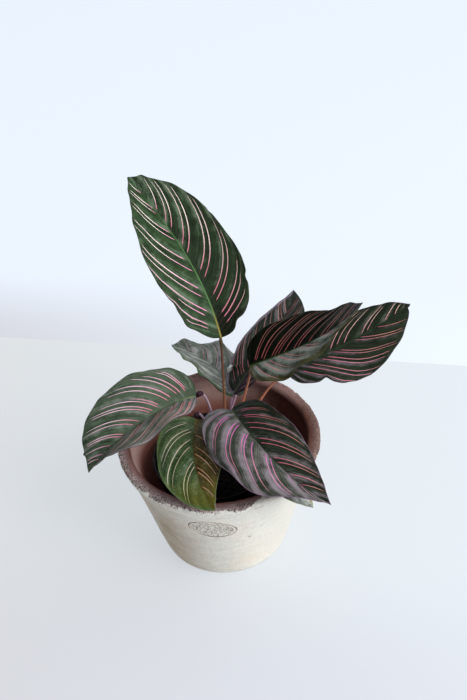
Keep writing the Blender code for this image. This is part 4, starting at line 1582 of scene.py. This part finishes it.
@dataclass(frozen=True)
class Pot:
    """Terracotta pot: rounded foot, flaring wall, soft collar and a wide rough lip."""
    base_radius: float = 52.0
    rim_radius: float = 80.0
    height: float = 106.3
    floor: float = 8.0
    sides: int = 288
    stamp_heading: float = 261.0      # of the stamped oval's middle, from +X towards +Y
    stamp_height: float = 75.0
    stamp_half: Pair = (18.5, 11.0)
    stamp_tilt: float = -8.0
    stamp_reach: float = 18.0         # on each side of its heading, where the mesh is finer
    groove_half: float = 0.55         # of the oval's groove: half its width
    groove_depth: float = 0.6
    field_depth: float = 0.2          # of the stippled field inside it
    stipple: float = 0.3
    stain_and_shade_heading: float = 222.0      # of the side with stain and painted shade
    stain_and_shade_half: float = 30.0          # and half its width
    stain_and_shade_fade: Pair = (60.0, 95.0)   # heights between which it grows fainter
    pit: Pair = (285.0, 56.0)         # heading and height of a small dark pit
    pit_half: float = 1.6
    pit_depth: float = 0.64
    broad_relief: float = 0.35        # slow unevenness of the wall
    fine_relief: float = 0.16         # limewash's lumps
    ring_relief: float = 0.06         # rings left by turning
    ring_spacing: float = 5.5
    lip_from: Pair = (-12.5, -9.5)    # the lip's inner end, from the widest edge of the rim
    lip_to: Pair = (1.5, 4.0)         # and its outer end
    lip_relief: Pair = (0.42, 0.3)    # fine and broad, on the lip
    chip_depth: float = 1.1           # of chips along its edge
    finish: Limewash = Limewash()

    def profile(self) -> Array:
        """Rounded profile, from the middle of the underside to the middle of the floor.

        Returns:
            Radius and height of its points, as rows.
        """
        foot, rim, top = self.base_radius, self.rim_radius, self.height
        corners = ((0, 0), (foot - 3, 0), (foot + 0.2, 0.8), (foot + 1.3, 3.8),
                   (rim - 5, top - 12.3), (rim - 2.7, top - 9.3), (rim - 0.8, top - 5.3),
                   (rim, top - 2.8), (rim - 0.4, top - 0.9), (rim - 1.8, top),
                   (rim - 8, top), (rim - 9.4, top - 0.7), (rim - 10, top - 2.3),
                   (rim - 10.8, top - 8.3), (rim - 13.2, top - 14.3), (foot - 6.5, self.floor + 4),
                   (foot - 9, self.floor + 1.2), (foot - 12, self.floor), (0, self.floor))
        rows = smooth_profile(corners, 0.8, 2.4, 0.8, top - 14)
        closer, outside = [rows[0]], np.argmax(rows[:, 0])
        for number, (row, after) in enumerate(zip(rows, rows[1:])):
            if number < outside and abs(row[1] - self.stamp_height) < self.stamp_half[1] + 4:
                closer += [row + (after - row) * part for part in QUARTERS]
            closer.append(after)
        return np.array(closer)

    def around(self, points: Array, heading: float) -> Array:
        """Millimetres round the pot from a heading, counted from +X towards +Y."""
        angle = np.arctan2(points[:, 1], points[:, 0]) - math.radians(heading)
        return wrapped(angle) * np.hypot(points[:, 0], points[:, 1])

    def marks(self, points: Array, outside: Array) -> tuple[Array, Array]:
        """Marks on the pot's outside: a plain stamped oval, a pit, and a side with stain and painted shade.

        Args:
            points: Places, as rows.
            outside: 1 on the outside and 0 elsewhere.

        Returns:
            Depths in millimetres, and the shares of groove, stamped field, and stain with painted shade as
            rows.
        """
        tilt = math.radians(self.stamp_tilt)
        across, up = self.around(points, self.stamp_heading), points[:, 2] - self.stamp_height
        turned = np.stack([across * math.cos(tilt) + up * math.sin(tilt),
                           up * math.cos(tilt) - across * math.sin(tilt)], -1)
        far = np.hypot(*(turned / self.stamp_half).T)
        slope = np.hypot(*(turned / np.square(self.stamp_half)).T) / np.maximum(far, 1e-6)
        groove = np.exp(-((far - 1.0) / np.maximum(slope, 1e-6) / self.groove_half) ** 2) * outside
        field_share = (1 - smooth(0.86, 0.94, far)) * outside
        rough = self.field_depth + self.stipple * np.clip(fractal(points, 1.1, 2), -1, 1)
        pit = np.hypot(self.around(points, self.pit[0]), points[:, 2] - self.pit[1])
        pit = np.exp(-(pit / self.pit_half) ** 2) * outside
        # the side darkened partly by stain and partly by painted shade
        stain_and_shade = np.exp(-(self.around(points, self.stain_and_shade_heading) / self.stain_and_shade_half) ** 2) * outside
        stain_and_shade = stain_and_shade * (1 - 0.35 * smooth(*self.stain_and_shade_fade, points[:, 2]))
        depth = self.groove_depth * groove + field_share * rough + self.pit_depth * pit
        return depth, np.stack([np.maximum(groove, 0.8 * pit), field_share, 0.85 * stain_and_shade], -1)

    def build(self) -> Object:
        """Builds and dresses the pot.

        Returns:
            The piece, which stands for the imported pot.
        """
        profile = self.profile()
        points, faces, number = revolve(profile, self.sides, (self.stamp_heading, self.stamp_reach))
        ring = profile[1:-1]
        tangent = unit(np.gradient(ring, axis=0))
        out = np.stack([tangent[:, 1], -tangent[:, 0]], -1)[number]
        radius = np.maximum(np.hypot(points[:, 0], points[:, 1]), 1e-6)
        level = points[:, :2] * (out[:, 0] / radius)[:, None]
        normals = np.column_stack([level, out[:, 1]])
        run = run_along(ring)
        edge = run[np.argmax(ring[:, 0])]
        lip_run = (edge - run)[number]
        lip = smooth(*self.lip_from, lip_run) * (1 - smooth(*self.lip_to, lip_run))
        outside = smooth(0.0, 3.0, lip_run)
        standing = smooth(0.6, 3.0, points[:, 2])
        turns = points[:, 2] * 2 * math.pi / self.ring_spacing + 2 * fractal(points, 30.0)
        height = self.fine_relief * fractal(points, 3.2) + self.ring_relief * np.sin(turns)
        height = (self.broad_relief * fractal(points, 38.0) + height * outside) * standing
        fine, broad = self.lip_relief
        height += (fine * fractal(points, 2.2) + broad * fractal(points, 6.0)) * lip
        chips = smooth(0.12, 0.5, fractal(points + 40.0, 5.0, 2)) * np.exp(-((lip_run + 0.4) / 2.2) ** 2)
        depth, marks = self.marks(points, outside)
        height -= self.chip_depth * chips + depth
        made = add_piece("terracotta_pot", points + normals * height[:, None], faces,
                         ("pot",), [self.finish.material()])
        carry(made, "lip_run", lip_run)
        carry(made, "marks", marks)
        return made


@dataclass(frozen=True)
class BlackPlastic:
    """Thin moulded plastic, scuffed and a little dusty."""
    colour: Colour = rgb(10, 10, 11)
    dust: Colour = rgb(46, 43, 40)

    def material(self) -> Material:
        """Builds the grower's pot's material.

        Returns:
            The material.
        """
        board = Surface("black_moulded_plastic")
        place = board.place()
        x, y, z = board.parts(place)
        cloud = board.grain(place, 70.0, 4.0, 0.6)
        grit = board.grain(place, 700.0, 2.0, 0.6)
        scuffs = board.grain(board.vector(x, y, z * 12.0), 160.0, 2.0)
        dusty = board.step(grit * 0.5 + cloud, 0.72, 0.95, 0.0, 0.35)
        board.bump(scuffs * 0.4 + grit, 0.06, 0.6)
        colour = board.mix(dusty, self.colour, self.dust)
        return board.finish(colour, board.step(scuffs, 0.3, 0.7, 0.42, 0.6), specular_ior_level=0.2)


@dataclass(frozen=True)
class NurseryPot:
    """Grower's pot that the plant was sold in, standing loose in the terracotta one."""
    x: float = -5.0
    base_radius: float = 36.0
    rim_radius: float = 49.5
    rim_top: float = 86.0
    collar: float = 6.0
    collar_step: float = 3.0          # by which it stands out from the wall
    wall: float = 1.2
    foot: float = 8.3
    floor: float = 1.5
    sway: float = 0.25                # of the thin wall, in and out
    sides: int = 144
    finish: BlackPlastic = BlackPlastic()

    def outer_radius(self, height: float) -> float:
        """Radius outside, below the collar, at a height."""
        share = (height - self.foot) / (self.rim_top - self.collar - self.foot)
        return self.base_radius + share * (self.rim_radius - self.collar_step - self.base_radius)

    def build(self) -> Object:
        """Builds and dresses the grower's pot.

        Returns:
            The piece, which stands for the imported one.
        """
        collar = self.rim_top - self.collar
        under, floor = self.outer_radius(collar), self.foot + self.floor
        rim, top = self.rim_radius, self.rim_top
        corners = ((0, self.foot), (self.base_radius - 2.5, self.foot),
                   (self.outer_radius(self.foot + 2.5), self.foot + 2.5), (under, collar - 1.2),
                   (rim - 0.9, collar - 0.2), (rim - 0.6, collar + 1), (rim - 0.6, top - 2.6),
                   (rim, top - 2.0), (rim, top - 0.5), (rim - 0.5, top), (rim - 1.5, top),
                   (rim - 2.0, top - 0.6), (under - self.wall, collar - 2.0),
                   (self.outer_radius(floor + 1.5) - self.wall, floor + 1.5),
                   (self.outer_radius(floor) - self.wall - 1.5, floor), (0, floor))
        profile = smooth_profile(corners, 0.22, 3.0, 0.5, collar - 3)
        points, faces, _ = revolve(profile, self.sides)
        angle = np.arctan2(points[:, 1], points[:, 0])
        sway = self.sway * np.sin(3 * angle + 0.7) * smooth(20.0, 80.0, points[:, 2])
        points[:, 0] += sway * np.cos(angle) + self.x
        points[:, 1] += sway * np.sin(angle)
        return add_piece("growers_pot", points, faces, ("nursery_pot",),
                         [self.finish.material()])


BALL_SIDE = 1.1               # longer than a triangle's side in a ball of radius 1, shorter than the rest


def crumb_ball() -> tuple[Array, Array]:
    """Corners and triangles of a ball with twenty faces.

    Returns:
        The corners as rows, and three numbers for each triangle.
    """
    golden = (1 + math.sqrt(5)) / 2
    corners = [(-1, golden, 0), (1, golden, 0), (-1, -golden, 0), (1, -golden, 0),
               (0, -1, golden), (0, 1, golden), (0, -1, -golden), (0, 1, -golden),
               (golden, 0, -1), (golden, 0, 1), (-golden, 0, -1), (-golden, 0, 1)]
    corners = np.array(corners) / math.hypot(1, golden)
    near = np.linalg.norm(corners[:, None] - corners, axis=-1) < BALL_SIDE
    faces = [(a, b, c) for a in range(12) for b in range(12) for c in range(12)
             if a < b and a < c and b != c and near[a, b] and near[b, c] and near[a, c]
             and np.dot(np.cross(corners[b] - corners[a], corners[c] - corners[a]), corners[a]) > 0]
    return corners, np.array(faces)


@dataclass(frozen=True)
class DarkSoilAndShade:
    """Dark potting soil, made near-black as painted shade inside the pot, browner in its grit."""
    # near-black: the soil's dark colour with painted shade
    dark: Colour = rgb(5, 4, 3)
    brown: Colour = rgb(24, 18, 14)

    def material(self) -> Material:
        """Builds the soil's material.

        Returns:
            The material.
        """
        board = Surface("potting_soil_and_painted_shade")
        place = board.place()
        grit = board.grain(place, 900.0, 4.0, 0.7)
        lumps = board.grain(place, 180.0, 3.0, 0.6)
        tone = board.step(grit * 0.6 + lumps, 0.7, 1.05)
        board.bump(grit + lumps, 0.8, 0.8)
        colour = board.mix(tone, self.dark, self.brown)
        return board.finish(colour, board.step(grit, 0.3, 0.7, 0.75, 0.97), specular_ior_level=0.1)


@dataclass(frozen=True)
class Soil:
    """Soil that fills the grower's pot, with loose crumbs on top."""
    pot: NurseryPot = NurseryPot()
    top: float = SOIL_TOP
    gap: float = 0.3
    relief: float = 1.6
    sides: int = 144
    crumbs: int = 420
    crumb_sizes: Pair = (0.5, 1.9)
    crumb_power: float = 2.5          # more of the crumbs are small where this is higher
    crumb_stretch: Pair = (0.6, 1.2)
    crumb_roughness: float = 0.22
    crumb_margin: float = 2.5         # kept clear along the soil's edge
    seed: int = 7
    finish: DarkSoilAndShade = DarkSoilAndShade()

    def heights(self, places: Array) -> Array:
        """Relief of the soil's top at places in rows, in millimetres."""
        return self.relief * (0.7 * fractal(places, 9.0, 4) + 0.35 * fractal(places, 2.6, 2))

    def build(self) -> list[Object]:
        """Builds and dresses the soil and its crumbs.

        Returns:
            The two pieces, the first of which stands for the packed soil.
        """
        floor = self.pot.foot + self.pot.floor + self.gap
        inset = self.pot.wall + self.gap
        edge = self.pot.outer_radius(self.top) - inset
        corners = ((0, floor), (self.pot.outer_radius(floor) - inset - 1.8, floor),
                   (self.pot.outer_radius(floor + 2) - inset, floor + 2), (edge, self.top - 2.4),
                   (edge - 1.2, self.top), (0, self.top))
        profile = smooth_profile(corners, 0.5, 6.0, 1.0, self.top - 4)
        points, faces, _ = revolve(profile, self.sides)
        lifted = smooth(self.top - 2.0, self.top - 0.2, points[:, 2])
        points[:, 2] += self.heights(points) * lifted
        points[:, 0] += self.pot.x
        material = self.finish.material()
        soil = add_piece("potting_soil", points, faces, ("soil",), [material], 70.0)
        return [soil, self.build_crumbs(edge, material)]

    def build_crumbs(self, edge: float, material: Material) -> Object:
        """Builds the loose crumbs, in one piece.

        Args:
            edge: Radius of the soil's top.
            material: Their material.

        Returns:
            The piece.
        """
        draw = np.random.default_rng(self.seed)
        ball, ball_faces = crumb_ball()
        points, faces = [], []
        for _ in range(self.crumbs):
            radius = (edge - self.crumb_margin) * math.sqrt(draw.random())
            angle = draw.uniform(0, 2 * math.pi)
            place = np.array([radius * math.cos(angle), radius * math.sin(angle), self.top])
            place[2] += self.heights(place[None, :])[0]
            least, most = self.crumb_sizes
            size = least + (most - least) * draw.random() ** self.crumb_power
            stretch = size * draw.uniform(*self.crumb_stretch, 3)
            turned, _ = np.linalg.qr(draw.normal(size=(3, 3)))
            rough = 1 + self.crumb_roughness * draw.normal(size=(len(ball), 1)).clip(-1.5, 1.5)
            shape = (ball * rough * stretch) @ turned.T
            if np.linalg.det(turned) < 0:
                shape = -shape
            start = len(points) * len(ball)
            points.append(shape + place + np.array([self.pot.x, 0, 0.25 * size]))
            faces += (ball_faces + start).tolist()
        return add_piece("soil_crumbs", np.concatenate(points), faces, (), [material], 60.0)


@dataclass(frozen=True)
class Sheet:
    """One flat sheet of the floor, which glows as painted light to keep shadows faint."""
    name: str
    colour: Colour
    glow: tuple[Colour, Colour]       # painted light that it gives by itself, at the left and at the right
    shaded: tuple[Colour, Colour]     # the same where painted shade darkens it
    shade: Pair                       # how far behind the floor's line the painted shade starts and where it is full

    def lay(self, corners: list[Array], line_place: float, line_slope: float) -> None:
        """Makes the sheet.

        Args:
            corners: Its corners in order.
            line_place: Y of the floor's line where X is 0.
            line_slope: How much its Y grows with X.
        """
        board = Surface(self.name + "_finish")
        x, y, _ = board.parts(board.place())
        grain = board.grain(board.place(), 900.0, 2.0)
        paper = board.mix(board.step(grain, 0.3, 0.7, 0.0, 0.02), self.colour, (0.5, 0.5, 0.5))
        behind = y - x * line_slope - line_place * MM
        right = board.step(x, -0.30, 0.30)
        low, high = sorted(self.shade)
        ends = (0.0, 1.0) if self.shade[0] < self.shade[1] else (1.0, 0.0)
        share = board.step(behind, low * MM, high * MM, *ends)
        glow = board.mix(share, board.mix(right, *self.glow), board.mix(right, *self.shaded))
        board.feed(board.shader.inputs["Emission Color"], glow)
        material = board.finish(paper, 0.6, specular_ior_level=0.0, emission_strength=1.0)
        mesh = bpy.data.meshes.new(self.name)
        mesh.from_pydata([(*corner * MM, 0.0) for corner in corners], [], [tuple(range(len(corners)))])
        mesh.materials.append(material)
        put(self.name, mesh)


@dataclass(frozen=True)
class Softbox:
    """A square light that faces the plant."""
    heading: float = -28.0            # of its place from the plant, from +X towards +Y
    pitch: float = 38.0
    distance: float = 2.2             # in metres, as its size is
    size: float = 1.8
    aim: float = 0.1                  # height that it faces
    watts: float = 53.0
    colour: Colour = (1.0, 0.985, 0.96)

    def hang(self) -> None:
        """Makes the light and turns it to the plant."""
        data = bpy.data.lights.new("softbox", "AREA")
        data.size = self.size
        data.energy = self.watts
        data.color = self.colour
        made = put("softbox", data)
        outward = Vector(directions(np.array(self.heading), np.array(self.pitch)))
        made.location = outward * self.distance + Vector((0.0, 0.0, self.aim))
        made.rotation_euler = outward.to_track_quat("Z", "Y").to_euler()


@dataclass(frozen=True)
class Studio:
    """Pale floor, a brighter ground behind it, and soft light from the right and the back."""
    camera_place: Triple = (0.0, -554.1, 639.5)
    camera_down: float = 39.0
    camera_right: float = 1.68        # turn of the view to the right
    camera_roll: float = -3.83
    lens: float = 50.0
    film: float = 36.0
    nearest: float = 0.01             # that the camera sees, in metres
    reach: float = 6000.0             # of the floor, from its middle
    line_left: Pair = (-227.0, 292.0)     # two points of the line between the sheets
    line_right: Pair = (255.0, 178.0)
    front: Sheet = Sheet("floor", colour=(0.22, 0.23, 0.23),
                         glow=((0.52, 0.535, 0.555), (0.53, 0.575, 0.625)),
                         shaded=((0.44, 0.44, 0.47), (0.50, 0.52, 0.60)), shade=(-250.0, -390.0))
    back: Sheet = Sheet("backdrop", colour=(0.14, 0.14, 0.14),
                        glow=((0.70, 0.77, 0.87), (0.70, 0.77, 0.86)),
                        shaded=((0.55, 0.56, 0.62), (0.72, 0.80, 0.88)), shade=(140.0, 0.0))
    softbox: Softbox = Softbox()
    sky_colour: Colour = rgb(240, 246, 252)
    sky_base: float = 0.05
    sky_lobes: tuple = ((-25.0, 40.0, -0.2, 1.0, 0.75),   # heading, pitch, where it starts and is full,
                        (95.0, 45.0, 0.3, 1.0, 0.70))     # and its strength

    def camera(self) -> None:
        """Sets up the camera."""
        right, roll = math.radians(self.camera_right), math.radians(self.camera_roll)
        ahead = Vector(directions(np.array(90.0 - self.camera_right), np.array(-self.camera_down)))
        level = Vector((math.cos(right), -math.sin(right), 0.0))
        above = level.cross(ahead)
        side = level * math.cos(roll) + above * math.sin(roll)
        top = above * math.cos(roll) - level * math.sin(roll)
        data = bpy.data.cameras.new("camera")
        data.lens = self.lens
        data.sensor_width = self.film
        data.clip_start = self.nearest
        made = put("camera", data)
        turn = Matrix((side, top, -ahead)).transposed().to_4x4()
        made.matrix_world = Matrix.Translation(Vector(self.camera_place) * MM) @ turn
        bpy.context.scene.camera = made

    def floor(self) -> None:
        """Lays the floor and, past its line, the brighter ground."""
        left, right = np.array(self.line_left), np.array(self.line_right)
        along = unit(right - left)
        away = np.array([-along[1], along[0]]) * self.reach
        middle = (left + right) / 2
        a, b = middle - along * self.reach, middle + along * self.reach
        slope = along[1] / along[0]
        line = (left[1] - slope * left[0], slope)
        self.front.lay([a - away, b - away, b, a], *line)
        self.back.lay([a, b, b + away, a + away], *line)

    def sky(self) -> None:
        """Sets the sky that lights the scene softly: bright behind and to the right, dim to the left."""
        world = bpy.data.worlds.new("studio")
        bpy.context.scene.world = world
        world.use_nodes = True
        board = Board(world.node_tree)
        ahead = board.signal("ShaderNodeTexCoord", {}, "Generated")
        strength = self.sky_base
        for heading, pitch, first, full, share in self.sky_lobes:
            aim = tuple(float(v) for v in directions(np.array(heading), np.array(pitch)))
            inputs = {0: ahead, 1: aim}
            toward = board.signal("ShaderNodeVectorMath", inputs, "Value", operation="DOT_PRODUCT")
            strength = board.step(toward, first, full, 0.0, share) + strength
        ground = world.node_tree.nodes["Background"]
        ground.inputs["Color"].default_value = (*self.sky_colour, 1.0)
        board.feed(ground.inputs["Strength"], strength)

    def build(self) -> None:
        """Sets up everything round the object."""
        self.camera()
        self.floor()
        self.sky()
        self.softbox.hang()
        bpy.context.scene.view_settings.view_transform = "Standard"


def main() -> None:
    """Builds every piece in order."""
    logging.basicConfig(level=logging.INFO, format="%(message)s")
    Studio().build()
    Pot().build()
    NurseryPot().build()
    Soil().build()
    for leaf in LEAVES:
        leaf.build_stalk()
        leaf.build_blade()


if __name__ == "__main__":
    main()
